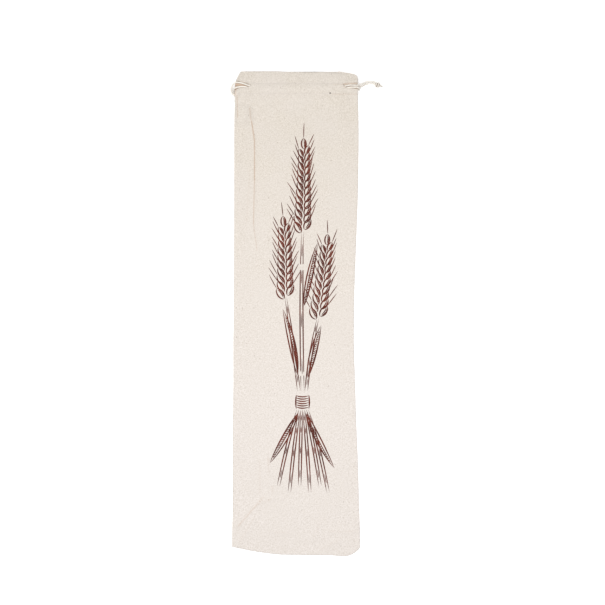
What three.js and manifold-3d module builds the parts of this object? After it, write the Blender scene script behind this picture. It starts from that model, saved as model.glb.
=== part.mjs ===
// A long, narrow drawstring bag of linen for a loaf, empty and lying on its back.
// Millimetres: +X to the right of the front, +Y towards the mouth, +Z up out of the front.
// The origin is on the surface, under the middle of the bag.
//
// One length of linen is folded at the bottom and sewn up the sides. Its top edge is turned in twice to
// make a header and a casing. Two drawcords run through the casing, each all the way round: cord A has its
// ends at the right and cord B at the left, tucked under the edge.
import * as THREE from 'three';
import { mergeVertices } from 'three/addons/utils/BufferGeometryUtils.js';
import Module from 'manifold-3d';

// ---------------------------------------------------------------- driving sizes

const WIDTH = 170;
const LENGTH = 660;
const CLOTH = 1.05; // one layer of linen with its nap
const SLACK = 0.7; // between the front and the back, where they lie on each other
const SEAM = 4.3; // the joined strip along each side and the bottom
const EDGE_ROUND = { width: 1.6, top: 0.7, under: 0.45 }; // how the strip's rim is rounded off

const MOUTH_Y = LENGTH / 2;
const BOTTOM_Y = -LENGTH / 2;

const HEADER = 16.5; // mouth to the upper stitching
const CASING = 14.6; // upper to lower stitching
const HEM_BELOW = 1.9; // turned-in edge below the lower stitching
const UPPER_STITCH_Y = MOUTH_Y - HEADER;
const LOWER_STITCH_Y = UPPER_STITCH_Y - CASING;
const HEM_Y = LOWER_STITCH_Y - HEM_BELOW;
const HEM_STEP = 1.2; // the run over which the turned-in layer ends

const CORD = 2.2; // diameter
const CORD_SIDES = 8;
const CORD_STEPS = 88;
const PASSAGE = 2.9; // height of the tunnel that a cord runs in
const PASSAGE_Y = (UPPER_STITCH_Y + LOWER_STITCH_Y) / 2;
const PASSAGE_HALF = CASING / 2 - 1; // the stitching takes 1 mm at each edge of the tunnel
const PASSAGE_REACH = 96; // the tunnels are cut this far out, past both sides
const PAST_CLOTH = 5; // the hollow is cut this far out of the mouth
const HAIR = 0.01; // a grid line this near a limit is on it

// the tunnel's height across it, from its middle to its edge and on to the stitching
const PASSAGE_SHAPE = [
  { across: 0, share: 1 },
  { across: 0.46, share: 1 },
  { across: 0.68, share: 0.86 },
  { across: 0.86, share: 0.5 },
  { across: 1, share: 0.2 },
  { across: CASING / 2 / PASSAGE_HALF, share: 0 },
];

// at the left end the pulled cord has opened the casing upwards
const CASING_RISE = [
  { x: -90, rise: 5.4 },
  { x: -80, rise: 5.2 },
  { x: -70, rise: 3.2 },
  { x: -57, rise: 0 },
  { x: 60, rise: 0 },
  { x: 84, rise: 1 },
];

// ---------------------------------------------------------------- outline

const SIDES = [
  { y: 330, left: -74.5, right: 60 },
  { y: 328.6, left: -76.1, right: 66.8 },
  { y: 327.2, left: -77.1, right: 75 },
  { y: 325.8, left: -77.8, right: 80.5 },
  { y: 324, left: -78.8, right: 83.2 },
  { y: 321, left: -80.2, right: 84.3 },
  { y: 315, left: -82.5, right: 84.4 },
  { y: 298, left: -83, right: 84.4 },
  { y: 262, left: -84.2, right: 85.6 },
  { y: 200, left: -84.4, right: 85.9 },
  { y: 155, left: -84.4, right: 84.7 },
  { y: 87, left: -84.3, right: 82 },
  { y: 20, left: -84.3, right: 79.4 },
  { y: -50, left: -85.4, right: 79.1 },
  { y: -91, left: -84.6, right: 80.4 },
  { y: -145, left: -85.6, right: 82.1 },
  { y: -200, left: -85.8, right: 84.4 },
  { y: -255, left: -86.2, right: 85.9 },
  { y: -295, left: -87, right: 87.2 },
  { y: -317, left: -87.3, right: 87.3 },
];

const BOTTOM_EDGE = [
  { x: -87.3, y: -318.4 },
  { x: -65, y: -323.2 },
  { x: -49, y: -325.8 },
  { x: -27, y: -328.6 },
  { x: 6, y: -329.6 },
  { x: 46, y: -330 },
  { x: 74, y: -329.7 },
  { x: 79, y: -327.4 },
  { x: 83.3, y: -324 },
  { x: 87.3, y: -320 },
];
const BOTTOM_BLEND = 45; // rows this near the bottom bend with its edge
const MOUTH_BLEND = 2; // rows this near the mouth stay straight where the casing rises

// the front lip of the mouth lies a little below the back one along part of its width
const LIP_ROWS = 4; // only rows this near the mouth are set back
const LIP_SET = [
  { x: -25, set: 0 },
  { x: -10, set: 0.9 },
  { x: 55, set: 0.9 },
  { x: 70, set: 0 },
];

// ---------------------------------------------------------------- folds and swells

// the front hangs over the back's casing like a bridge, and comes down on both sides of it
const BRIDGE = [
  { y: 256, share: 0 },
  { y: 294, share: 1 },
  { y: 316, share: 1 },
  { y: 330, share: 0.55 },
];
const BRIDGE_SIDE = 28; // the run from a side seam inwards over which the bridge rises

// broad slack in the front: half lengths of each soft swell and its height
const SWELLS = [
  { x: -25, y: 215, halfX: 42, halfY: 60, rise: 0.8 },
  { x: 35, y: 150, halfX: 34, halfY: 70, rise: 0.7 },
  { x: -20, y: 5, halfX: 50, halfY: 55, rise: 0.9 },
  { x: 38, y: -35, halfX: 30, halfY: 45, rise: 0.6 },
  { x: -15, y: -160, halfX: 48, halfY: 60, rise: 0.9 },
  { x: 45, y: -215, halfX: 30, halfY: 60, rise: 0.8 },
  { x: -45, y: -285, halfX: 30, halfY: 25, rise: 0.8 },
];
const SWELL_FADE = { bottom: 6, side: 14, hem: 20 }; // how far from each edge the swells begin or fade

// narrow folds in the front: a soft ridge along each line
const FOLDS = [
  { name: 'long crease, start', fromX: -63, fromY: 280, toX: -61.5, toY: 264, rise: 0.8, width: 3.5 },
  { name: 'long crease, upper', fromX: -60.5, fromY: 262, toX: -56.6, toY: 182, rise: 1.2, width: 4 },
  { name: 'long crease, middle', fromX: -56.6, fromY: 182, toX: -58, toY: 121, rise: 1.1, width: 4 },
  { name: 'long crease, end', fromX: -58, fromY: 121, toX: -53, toY: 86, rise: 0.8, width: 4 },
  { name: 'beside the long crease', fromX: -63, fromY: 196, toX: -68, toY: 121, rise: 0.6, width: 5 },
  { name: 'packing fold, upper', fromX: -84, fromY: 62, toX: 81, toY: 63.5, rise: 0.9, width: 6 },
  { name: 'packing fold, lower', fromX: -85, fromY: -83, toX: 80, toY: -81.5, rise: 0.7, width: 6 },
  { name: 'lower left, outer', fromX: -50, fromY: -200, toX: -49.5, toY: -246, rise: 0.8, width: 4.5 },
  { name: 'lower left, inner', fromX: -38, fromY: -203, toX: -38.5, toY: -240, rise: 0.8, width: 4.5 },
  { name: 'lower left, hooked', fromX: -31, fromY: -238, toX: -42, toY: -258, rise: 0.9, width: 6 },
  { name: 'corner diagonal, long', fromX: -48, fromY: -254, toX: -82, toY: -296, rise: 1.1, width: 6 },
  { name: 'corner diagonal, short', fromX: -56, fromY: -276, toX: -77, toY: -312, rise: 0.8, width: 6 },
  { name: 'bottom wave, left', fromX: -31, fromY: -298, toX: -11, toY: -299, rise: 0.6, width: 7 },
  { name: 'bottom wave, middle', fromX: 24, fromY: -306, toX: 32, toY: -286, rise: 0.7, width: 7 },
  { name: 'bottom wave, right', fromX: 46, fromY: -297, toX: 78, toY: -297, rise: 0.7, width: 7 },
  { name: 'bottom wave, low', fromX: 35, fromY: -322, toX: 61, toY: -307, rise: 0.7, width: 7 },
];

// what lies under the left edge lifts the whole bag: height within core, down to nothing over fade
const LIFTS = [
  { name: 'crossing cords', fromX: -84, fromY: 298.5, toX: -82, toY: 297.5, height: 4.35, core: 3.2, fade: 7 },
  { name: 'tucked ends, outer', fromX: -83, fromY: 294, toX: -78, toY: 288, height: 2.8, core: 4.5, fade: 12 },
  { name: 'tucked ends, inner', fromX: -76, fromY: 298, toX: -74.8, toY: 276, height: 2.8, core: 4.5, fade: 15 },
  { name: 'tucked knot', fromX: -74.6, fromY: 275, toX: -74.6, toY: 270, height: 5.4, core: 4, fade: 15 },
];
const LIFT_ENDS = { from: 308.5, to: 299.5 }; // the casing is lifted only at its lower edge
// the cloth comes down to the surface along the left edge, below where the cord goes under it
const EDGE_DROOP = { width: 4, from: 291, to: 284 };

const FLAT_CUT = 0.25; // how far the rough underside reaches below the surface before it is cut level
const GROUND_DEPTH = 10; // of the block that cuts it

// ---------------------------------------------------------------- grid lines

const COLUMN_BANDS = [
  { name: 'left edge', from: 0, to: EDGE_ROUND.width, parts: 1 },
  { name: 'left seam', from: EDGE_ROUND.width, to: SEAM, parts: 1 },
  { name: 'creased side', from: SEAM, to: 50, parts: 11 },
  { name: 'middle', from: 50, to: 150, parts: 8 },
  { name: 'right side', from: 150, to: WIDTH - SEAM, parts: 3 },
  { name: 'right seam', from: WIDTH - SEAM, to: WIDTH - EDGE_ROUND.width, parts: 1 },
  { name: 'right edge', from: WIDTH - EDGE_ROUND.width, to: WIDTH, parts: 1 },
];

const ROW_BANDS_ABOVE = [
  { name: 'rounded corner', from: MOUTH_Y, to: 324.4, parts: 4 },
  { name: 'header', from: 324.4, to: UPPER_STITCH_Y + 1.2, parts: 2 },
  { name: 'above the stitching', from: UPPER_STITCH_Y + 1.2, to: UPPER_STITCH_Y, parts: 1 },
];
const ROW_BANDS_BELOW = [
  { name: 'hem', from: LOWER_STITCH_Y, to: HEM_Y, parts: 1 },
  { name: 'hem edge', from: HEM_Y, to: HEM_Y - HEM_STEP, parts: 1 },
  { name: 'over the tucked ends', from: HEM_Y - HEM_STEP, to: 258, parts: 7 },
  { name: 'upper body', from: 258, to: 69, parts: 9 },
  { name: 'upper packing fold', from: 69, to: 57, parts: 2 },
  { name: 'middle body', from: 57, to: -76, parts: 6 },
  { name: 'lower packing fold', from: -76, to: -88, parts: 2 },
  { name: 'lower body', from: -88, to: -200, parts: 5 },
  { name: 'creased corner', from: -200, to: BOTTOM_Y + SEAM, parts: 12 },
  { name: 'bottom seam', from: BOTTOM_Y + SEAM, to: BOTTOM_Y + EDGE_ROUND.width, parts: 1 },
  { name: 'bottom edge', from: BOTTOM_Y + EDGE_ROUND.width, to: BOTTOM_Y, parts: 1 },
];

// ---------------------------------------------------------------- small tools

const clamp01 = (value) => Math.min(1, Math.max(0, value));
const smooth = (value) => clamp01(value) ** 2 * (3 - 2 * clamp01(value));

/** Straight-line reading of a table's column at a place along its key column. */
function read(table, key, column, at) {
  const rising = table[0][key] < table.at(-1)[key];
  const rows = rising ? table : [...table].reverse();
  if (at <= rows[0][key]) return rows[0][column];
  if (at >= rows.at(-1)[key]) return rows.at(-1)[column];
  const next = rows.findIndex((row) => row[key] > at);
  const [low, high] = [rows[next - 1], rows[next]];
  return low[column] + ((high[column] - low[column]) * (at - low[key])) / (high[key] - low[key]);
}

/** Every line of a list of bands, ends included. */
function linesOf(bands) {
  const lines = bands.flatMap(({ from, to, parts }) =>
    Array.from({ length: parts }, (_, part) => from + ((to - from) * part) / parts),
  );
  return [...lines, bands.at(-1).to];
}

/** How far a point lies from a straight stretch. */
function distanceTo({ fromX, fromY, toX, toY }, x, y) {
  const [runX, runY] = [toX - fromX, toY - fromY];
  const along = clamp01(((x - fromX) * runX + (y - fromY) * runY) / (runX ** 2 + runY ** 2));
  return Math.hypot(x - fromX - along * runX, y - fromY - along * runY);
}

// ---------------------------------------------------------------- heights of the layers

const leftEdge = (y) => read(SIDES, 'y', 'left', y);
const rightEdge = (y) => read(SIDES, 'y', 'right', y);
const casingRise = (x) => read(CASING_RISE, 'x', 'rise', x);

/** The place across the tunnel: 0 in its middle, 1 at its edges. */
function acrossPassage(x, y) {
  const above = y - PASSAGE_Y;
  return above > 0 ? above / (PASSAGE_HALF + casingRise(x)) : -above / PASSAGE_HALF;
}

/** The y of a line that runs along the tunnel. */
function passageLine(x, across) {
  return PASSAGE_Y + across * (PASSAGE_HALF + (across > 0 ? casingRise(x) : 0));
}

const passage = (x, y) => PASSAGE * read(PASSAGE_SHAPE, 'across', 'share', acrossPassage(x, y));
const turnedIn = (y) => CLOTH * clamp01((y - (HEM_Y - HEM_STEP)) / HEM_STEP);

/** How far a point is from the nearer side. */
const fromSide = (x, y) => Math.min(x - leftEdge(y), rightEdge(y) - x);

/** The underside's height: flat on the surface, but lifted where the cord's ends are tucked under. */
function lift(x, y) {
  const heights = LIFTS.map((row) => row.height * (1 - smooth((distanceTo(row, x, y) - row.core) / row.fade)));
  const fromEdge = (x - leftEdge(y)) / EDGE_DROOP.width;
  const droop = smooth((EDGE_DROOP.from - y) / (EDGE_DROOP.from - EDGE_DROOP.to));
  const below = smooth((LIFT_ENDS.from - y) / (LIFT_ENDS.from - LIFT_ENDS.to));
  return Math.max(0, ...heights) * below * (1 - droop * (1 - smooth(fromEdge)));
}

function swell(x, y) {
  const fromSeam = Math.min(fromSide(x, y), y - BOTTOM_Y - SWELL_FADE.bottom) - SEAM;
  const sum = SWELLS.reduce(
    (total, row) => total + row.rise * Math.exp(-(((x - row.x) / row.halfX) ** 2) - ((y - row.y) / row.halfY) ** 2),
    0,
  );
  return sum * smooth(fromSeam / SWELL_FADE.side) * smooth((HEM_Y - y) / SWELL_FADE.hem);
}

function bridge(x, y) {
  const share = smooth(read(BRIDGE, 'y', 'share', y)) * smooth((fromSide(x, y) - SEAM) / BRIDGE_SIDE);
  return share * (PASSAGE + CLOTH);
}

function folds(x, y) {
  return FOLDS.reduce((total, row) => total + row.rise * Math.exp(-((distanceTo(row, x, y) / row.width) ** 2)), 0);
}

const backTunnelFloor = (x, y) => lift(x, y) + CLOTH;
const backTunnelTop = (x, y) => backTunnelFloor(x, y) + passage(x, y);
const insideFloor = (x, y) => backTunnelTop(x, y) + turnedIn(y);
const insideTop = (x, y) => Math.max(insideFloor(x, y), backTunnelFloor(x, y) + bridge(x, y)) + SLACK + swell(x, y);
const frontTunnelFloor = (x, y) => insideTop(x, y) + turnedIn(y);
const frontTunnelTop = (x, y) => frontTunnelFloor(x, y) + passage(x, y);

/** How much of the rounded edge a point is on: 1 at the side or the bottom, 0 from its width inwards. */
function onEdge(x, y) {
  const inside = Math.min(x - leftEdge(y), rightEdge(y) - x, y - bottomEdge(x));
  return clamp01(1 - inside / EDGE_ROUND.width) ** 2;
}

const front = (x, y) => frontTunnelTop(x, y) + CLOTH + folds(x, y) - EDGE_ROUND.top * onEdge(x, y);
// below the surface where the bag lies flat, and cut off level with it afterwards
const underside = (x, y) => lift(x, y) + (EDGE_ROUND.under + FLAT_CUT) * onEdge(x, y) - FLAT_CUT;

// ---------------------------------------------------------------- places in plan

function bottomEdge(x) {
  return read(BOTTOM_EDGE, 'x', 'y', x);
}

/** A point of the bag in plan: a share across a row, with the bottom rows bent like the bottom edge. */
function place(share, row) {
  const x = leftEdge(row) + share * (rightEdge(row) - leftEdge(row));
  const bend = clamp01(1 - (row - BOTTOM_Y) / BOTTOM_BLEND);
  const upTo = MOUTH_Y - MOUTH_BLEND;
  const rising = clamp01((row - PASSAGE_Y) / PASSAGE_HALF);
  const falling = clamp01((upTo - row) / (upTo - PASSAGE_Y - PASSAGE_HALF));
  return [x, row + bend * (bottomEdge(x) - BOTTOM_Y) + Math.min(rising, falling) * casingRise(x)];
}

/** The same, with the front lip set back from the mouth's edge. */
function placeFront(share, row) {
  const [x, y] = place(share, row);
  const atMouth = clamp01((row - MOUTH_Y + LIP_ROWS) / LIP_ROWS);
  return [x, y - atMouth * read(LIP_SET, 'x', 'set', x)];
}

// ---------------------------------------------------------------- solids

/**
 * A closed solid between two height fields over one grid. Rows run along the first share and columns along
 * the second; the top and the bottom share the grid, and a wall joins their rims.
 */
function layered(columns, rows, topPlace, topHeight, bottomPlace, bottomHeight) {
  const points = [];
  const faces = [];
  const width = columns.length;
  const layer = width * rows.length;
  for (const [plan, height] of [
    [topPlace, topHeight],
    [bottomPlace, bottomHeight],
  ]) {
    for (const row of rows) {
      for (const column of columns) {
        const [x, y] = plan(column, row);
        points.push(x, y, height(x, y));
      }
    }
  }
  const quad = (a, b, c, d) => faces.push(a, b, c, a, c, d);
  const at = (column, row) => row * width + column;
  for (let row = 0; row + 1 < rows.length; row += 1) {
    for (let column = 0; column + 1 < width; column += 1) {
      const corners = [at(column, row), at(column, row + 1), at(column + 1, row + 1), at(column + 1, row)];
      quad(...corners);
      quad(...corners.map((corner) => corner + layer).reverse());
    }
  }
  const rim = [
    ...columns.map((_, column) => at(column, 0)),
    ...rows.slice(1).map((_, row) => at(width - 1, row + 1)),
    ...columns.slice(1).map((_, column) => at(width - 2 - column, rows.length - 1)),
    ...rows.slice(2).map((_, row) => at(0, rows.length - 2 - row)),
  ];
  rim.forEach((corner, index) => {
    const next = rim[(index + 1) % rim.length];
    quad(corner, next, next + layer, corner + layer);
  });
  const geometry = new THREE.BufferGeometry();
  geometry.setAttribute('position', new THREE.Float32BufferAttribute(points, 3));
  geometry.setIndex(faces);
  return geometry;
}

const wasm = await Module();
wasm.setup();

/** One of three.js's own shapes with its shared corners joined. */
function merged(shape) {
  shape.deleteAttribute('normal');
  shape.deleteAttribute('uv');
  return mergeVertices(shape);
}

function solidOf(geometry) {
  return new wasm.Manifold(
    new wasm.Mesh({
      numProp: 3,
      vertProperties: geometry.getAttribute('position').array,
      triVerts: Uint32Array.from(geometry.index.array),
    }),
  );
}

function geometryOf(solid) {
  const mesh = solid.getMesh();
  const geometry = new THREE.BufferGeometry();
  geometry.setAttribute('position', new THREE.BufferAttribute(mesh.vertProperties, 3));
  geometry.setIndex(new THREE.BufferAttribute(mesh.triVerts, 1));
  return geometry;
}

// ---------------------------------------------------------------- the bag

const COLUMNS = linesOf(COLUMN_BANDS).map((line) => line / WIDTH);
const PASSAGE_ACROSS = [
  ...PASSAGE_SHAPE.slice(1, -1)
    .map((row) => row.across)
    .reverse(),
  ...PASSAGE_SHAPE.slice(0, -1).map((row) => -row.across),
];
const ROWS = [
  ...linesOf(ROW_BANDS_ABOVE),
  ...PASSAGE_ACROSS.map((across) => PASSAGE_Y + across * PASSAGE_HALF),
  ...linesOf(ROW_BANDS_BELOW),
];

// the inner surfaces keep every line near the sides and the casing, and every second one elsewhere
const FINE_SHARE = 0.205; // from each side inwards
const FINE_ROW = 225;
const INNER_COLUMNS = COLUMNS.filter((share, index) => Math.min(share, 1 - share) < FINE_SHARE || index % 2 === 0);
const INNER_ROWS = ROWS.filter((row, index) => row > FINE_ROW || index % 2 === 0);

/** The hollow: it runs out of the mouth and stops a seam's width from the sides and the bottom. */
function hollow() {
  const columns = INNER_COLUMNS.filter((share) => Math.min(share, 1 - share) * WIDTH > SEAM - HAIR);
  const rows = [MOUTH_Y + PAST_CLOTH, ...INNER_ROWS.filter((row) => row > BOTTOM_Y + SEAM - HAIR)];
  return layered(columns, rows, place, insideTop, place, insideFloor);
}

/** A tunnel through the casing, out past both sides. */
function tunnel(floor, top) {
  const columns = [-PASSAGE_REACH, ...INNER_COLUMNS.map((share) => place(share, PASSAGE_Y)[0]), PASSAGE_REACH];
  const plan = (x, across) => [x, passageLine(x, across)];
  return layered(columns, PASSAGE_ACROSS, plan, top, plan, floor);
}

// the slits by which the cords leave the tunnels: their lips, from the tip out past the side
const FRONT_SLITS = [
  [
    { x: -61.4, low: 310.2, high: 310.5 },
    { x: -66.8, low: 306.9, high: 314 },
    { x: -72.9, low: 307.1, high: 315.6 },
    { x: -78, low: 306.7, high: 316.9 },
    { x: -81.2, low: 305, high: 317.6 },
    { x: -83.4, low: 302.6, high: 318 },
    { x: -96, low: 302, high: 318.4 },
  ],
  [
    { x: 64, low: 311.6, high: 311.9 },
    { x: 67.6, low: 307.4, high: 313 },
    { x: 74, low: 306.4, high: 313.8 },
    { x: 83, low: 305.5, high: 314.3 },
    { x: 96, low: 305.2, high: 314.4 },
  ],
];
const BACK_SLITS = [
  [
    { x: -58, low: 306.8, high: 307.2 },
    { x: -68, low: 300.8, high: 311.5 },
    { x: -81.8, low: 296, high: 314.4 },
    { x: -96, low: 295.5, high: 315.7 },
  ],
  [
    { x: 63.4, low: 306.6, high: 307 },
    { x: 73.6, low: 300.9, high: 311.3 },
    { x: 84.4, low: 297.8, high: 314.4 },
    { x: 96, low: 297.2, high: 315 },
  ],
];
const SLIT_CUT = 16; // how far a slit's cutter reaches past the cloth

/** A lens-shaped cut through a tunnel's outer layer, from half-way up the tunnel outwards. */
function slit(lips, front) {
  const middle = (x, y) =>
    front
      ? (frontTunnelFloor(x, y) + frontTunnelTop(x, y)) / 2
      : (backTunnelFloor(x, y) + backTunnelTop(x, y)) / 2;
  const plan = (index, share) => {
    const { x, low, high } = lips[index];
    return [x, low + share * (high - low)];
  };
  const columns = lips.map((_, index) => index).sort((a, b) => lips[a].x - lips[b].x);
  const shares = [1, 0.75, 0.5, 0.25, 0];
  const above = (x, y) => middle(x, y) + SLIT_CUT;
  const below = (x, y) => middle(x, y) - SLIT_CUT;
  return front
    ? layered(columns, shares, plan, above, plan, middle)
    : layered(columns, shares, plan, middle, plan, below);
}

/** A block whose top is the surface that the bag lies on. */
function ground() {
  return new THREE.BoxGeometry(LENGTH, LENGTH * 2, GROUND_DEPTH).translate(0, 0, -GROUND_DEPTH / 2);
}

function bagBody() {
  const outside = solidOf(layered(COLUMNS, ROWS, placeFront, front, place, underside));
  const cuts = [
    merged(ground()),
    hollow(),
    tunnel(frontTunnelFloor, frontTunnelTop),
    tunnel(backTunnelFloor, backTunnelTop),
    ...FRONT_SLITS.map((lips) => slit(lips, true)),
    ...BACK_SLITS.map((lips) => slit(lips, false)),
  ];
  return geometryOf(cuts.reduce((body, cut) => body.subtract(solidOf(cut)), outside));
}

// ---------------------------------------------------------------- drawcords and knots

// a cord's centre in the back tunnel, and in the front one above both turned-in layers
const Z_BACK = CLOTH + PASSAGE / 2;
const Z_FRONT = Z_BACK + PASSAGE + 2 * CLOTH + SLACK;

// from its end at knot A, left through the front, round the left side and back through the back
const ROUTE_A = [
  [107.4, 315.7, 2.2],
  [104.3, 316.5, 1.5],
  [100.2, 316.8, 1.15],
  [96.1, 315.8, 1.5],
  [92.5, 313.9, 3.2],
  [89.2, 312.3, 6],
  [85.8, 311, 8.15],
  [81.8, 310.5, 8.35],
  [73.6, 310.8, Z_FRONT],
  [69.2, 310, 8.15],
  [64.8, 308.8, 8.15],
  [57, 308.8, Z_FRONT],
  [-8.2, 308.9, Z_FRONT],
  [-49, 308.7, Z_FRONT],
  [-56.5, 308.8, Z_FRONT],
  [-61.5, 309.5, Z_FRONT],
  [-67, 311.2, Z_FRONT],
  [-73.6, 313.5, 8.3],
  [-79.1, 314.4, 8.3],
  [-82.9, 313.9, 8.1],
  [-85.8, 311.6, 7.4],
  [-87.4, 308.2, 6.3],
  [-88, 304.7, 5.5],
  [-87.8, 301.7, 4.9],
  [-86.4, 299.3, 4.4],
  [-84.2, 298.2, 4.1],
  [-81.8, 298.7, 3.65],
  [-79.9, 300.5, 3.3],
  [-78.3, 302.8, 3],
  [-76.1, 305.4, 2.7],
  [-71.6, 307.8, Z_BACK],
  [-60, 309, Z_BACK],
  [-8.2, 308.9, Z_BACK],
  [32.7, 308.9, Z_BACK],
  [66.8, 308.9, Z_BACK],
  [77.7, 308.9, 2.4],
  [83.9, 308.7, 2.1],
  [88.6, 309.8, 1.7],
  [92.7, 311.7, 1.25],
  [96.8, 313.4, 1.12],
  [100.9, 314.1, 1.15],
  [104.5, 313.9, 1.4],
  [106.5, 313.2, 2.2],
];

// from its end at knot B, up under the left edge, right through the front, round and back
const ROUTE_B = [
  [-75.8, 276.1, 1.8],
  [-76.4, 280.2, 1.2],
  [-77.3, 285.7, 1.12],
  [-78.9, 290.9, 1.12],
  [-81, 294.6, 1.12],
  [-83.2, 297.4, 1.15],
  [-84.6, 299.8, 1.55],
  [-85.1, 301.8, 3],
  [-85.2, 303.2, 4.9],
  [-85, 304.7, 6.9],
  [-83.8, 306.2, 8.5],
  [-80.8, 307.5, 9.1],
  [-76.6, 308.4, 8.8],
  [-70.9, 308.7, 8.5],
  [-64.1, 307.2, 8.35],
  [-57.3, 305.3, Z_FRONT],
  [-49.1, 304.3, Z_FRONT],
  [-8.2, 304.1, Z_FRONT],
  [32.7, 304.1, Z_FRONT],
  [57.3, 304.5, Z_FRONT],
  [66.8, 306.6, Z_FRONT],
  [73.6, 307.9, Z_FRONT],
  [79.2, 308, 8.5],
  [83, 307.9, 8.75],
  [85, 307.7, 8.4],
  [86.4, 307.1, 7.1],
  [86.8, 306.4, 5.35],
  [86.4, 305.7, 3.6],
  [85, 305.1, 2.3],
  [83, 304.8, 1.9],
  [78.4, 304.5, 2.2],
  [68.2, 303.8, Z_BACK],
  [32.7, 304.1, Z_BACK],
  [-8.2, 304.1, Z_BACK],
  [-48, 304.1, Z_BACK],
  [-56.5, 304.3, 2.5],
  [-60.5, 304.7, 2.64],
  [-64.5, 304.8, 2.66],
  [-69.5, 304.7, 2.4],
  [-73.9, 302.9, 1.7],
  [-75.7, 299.6, 1.15],
  [-75.3, 295.2, 1.12],
  [-74, 289.1, 1.12],
  [-73, 283, 1.12],
  [-72.9, 278.9, 1.25],
  [-73.2, 275.9, 1.8],
];

function drawcord(route) {
  const path = new THREE.CatmullRomCurve3(route.map((point) => new THREE.Vector3(...point)), false, 'centripetal');
  const section = new THREE.Shape(
    Array.from({ length: CORD_SIDES }, (_, side) => {
      const turn = (side / CORD_SIDES) * 2 * Math.PI;
      return new THREE.Vector2(Math.cos(turn), Math.sin(turn)).multiplyScalar(CORD / 2);
    }),
  );
  return new THREE.ExtrudeGeometry(section, { steps: CORD_STEPS, extrudePath: path, bevelEnabled: false });
}

// a knot's half width along its length, with the two frayed ends behind it
const KNOT_PROFILE = [
  { along: 0, half: 1.6 },
  { along: 0.9, half: 2.6 },
  { along: 2.4, half: 3.1 },
  { along: 4, half: 2.7 },
  { along: 5.2, half: 1.7 },
  { along: 6.2, half: 1.8 },
  { along: 7.6, half: 1.5 },
  { along: 9.6, half: 0.6 },
];
const KNOT_SIDES = 14;
const KNOT_FLAT = 0.78; // height of a knot against its width
const KNOT_HEIGHT = Math.max(...KNOT_PROFILE.map((row) => row.half)) * KNOT_FLAT; // of its middle, lying

/** A turned knot, lying along +Y at first, then swung to its heading. */
function knot(heading) {
  const profile = [
    new THREE.Vector2(0, 0),
    ...KNOT_PROFILE.map(({ along, half }) => new THREE.Vector2(half, along)),
    new THREE.Vector2(0, KNOT_PROFILE.at(-1).along),
  ];
  const geometry = new THREE.LatheGeometry(profile, KNOT_SIDES);
  geometry.scale(1, 1, KNOT_FLAT);
  geometry.rotateZ(heading - Math.PI / 2);
  return geometry;
}

// ---------------------------------------------------------------- the object

const linen = new THREE.MeshStandardMaterial({ color: 0xe6dccf, roughness: 0.92, metalness: 0 });
const cotton = new THREE.MeshStandardMaterial({ color: 0xf1ebdf, roughness: 0.85, metalness: 0 });

const bag = new THREE.Group();

function add(name, geometry, material, position = [0, 0, 0]) {
  const mesh = new THREE.Mesh(geometry, material);
  mesh.name = name;
  mesh.position.set(...position);
  bag.add(mesh);
}

const GAP = 0.35; // between a cord's end and its knot
const HEADING_A = THREE.MathUtils.degToRad(-32);
const HEADING_B = THREE.MathUtils.degToRad(-93);
// each knot starts past the middle of its cord's two ends
const KNOT_A_AT = [107.4 + GAP, 314.2, KNOT_HEIGHT];
const KNOT_B_AT = [-74.5, 275.9 - GAP, KNOT_HEIGHT];

add('bag_body', bagBody(), linen);
add('drawcord_a', drawcord(ROUTE_A), cotton);
add('knot_a', knot(HEADING_A), cotton, KNOT_A_AT);
add('drawcord_b', drawcord(ROUTE_B), cotton);
add('knot_b', knot(HEADING_B), cotton, KNOT_B_AT);

export default bag;
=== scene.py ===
"""A long, narrow drawstring bag of linen for a loaf, empty and lying on its back.

Metres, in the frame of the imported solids: +X to the right of the front, +Y towards the mouth, +Z up out of
the front. Tables are in millimetres, and MM turns them into metres.

The cloth is one closed skin of four height fields: the outside and the inside of the front, and the inside
and the outside of the back. The two drawcords are twisted tubes carried along their routes, each with its
knot.
"""

import bpy
import numpy as np
from bpy.props import FloatProperty, FloatVectorProperty, IntProperty, PointerProperty
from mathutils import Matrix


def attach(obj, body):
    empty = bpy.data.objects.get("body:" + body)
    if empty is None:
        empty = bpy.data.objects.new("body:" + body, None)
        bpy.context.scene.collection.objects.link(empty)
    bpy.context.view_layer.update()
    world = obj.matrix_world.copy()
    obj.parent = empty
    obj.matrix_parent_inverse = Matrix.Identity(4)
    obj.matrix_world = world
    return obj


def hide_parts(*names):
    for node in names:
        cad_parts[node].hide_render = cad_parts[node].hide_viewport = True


bl_info = {
    "name": "Linen bread bag",
    "version": (1, 0, 0),
    "blender": (4, 5, 0),
    "location": "View3D > Sidebar > Bread bag",
    "description": "Dresses the solids of a linen drawstring bread bag",
    "category": "Add Mesh",
}

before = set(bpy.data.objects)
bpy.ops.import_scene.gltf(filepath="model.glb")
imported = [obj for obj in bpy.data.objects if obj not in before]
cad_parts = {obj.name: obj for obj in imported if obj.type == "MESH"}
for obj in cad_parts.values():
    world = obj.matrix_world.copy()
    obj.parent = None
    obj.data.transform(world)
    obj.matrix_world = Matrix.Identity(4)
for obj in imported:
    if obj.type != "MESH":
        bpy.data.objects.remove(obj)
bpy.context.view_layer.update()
BODY = "root"
MM = 0.001

# ---------------- sizes in plan, millimetres

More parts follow.
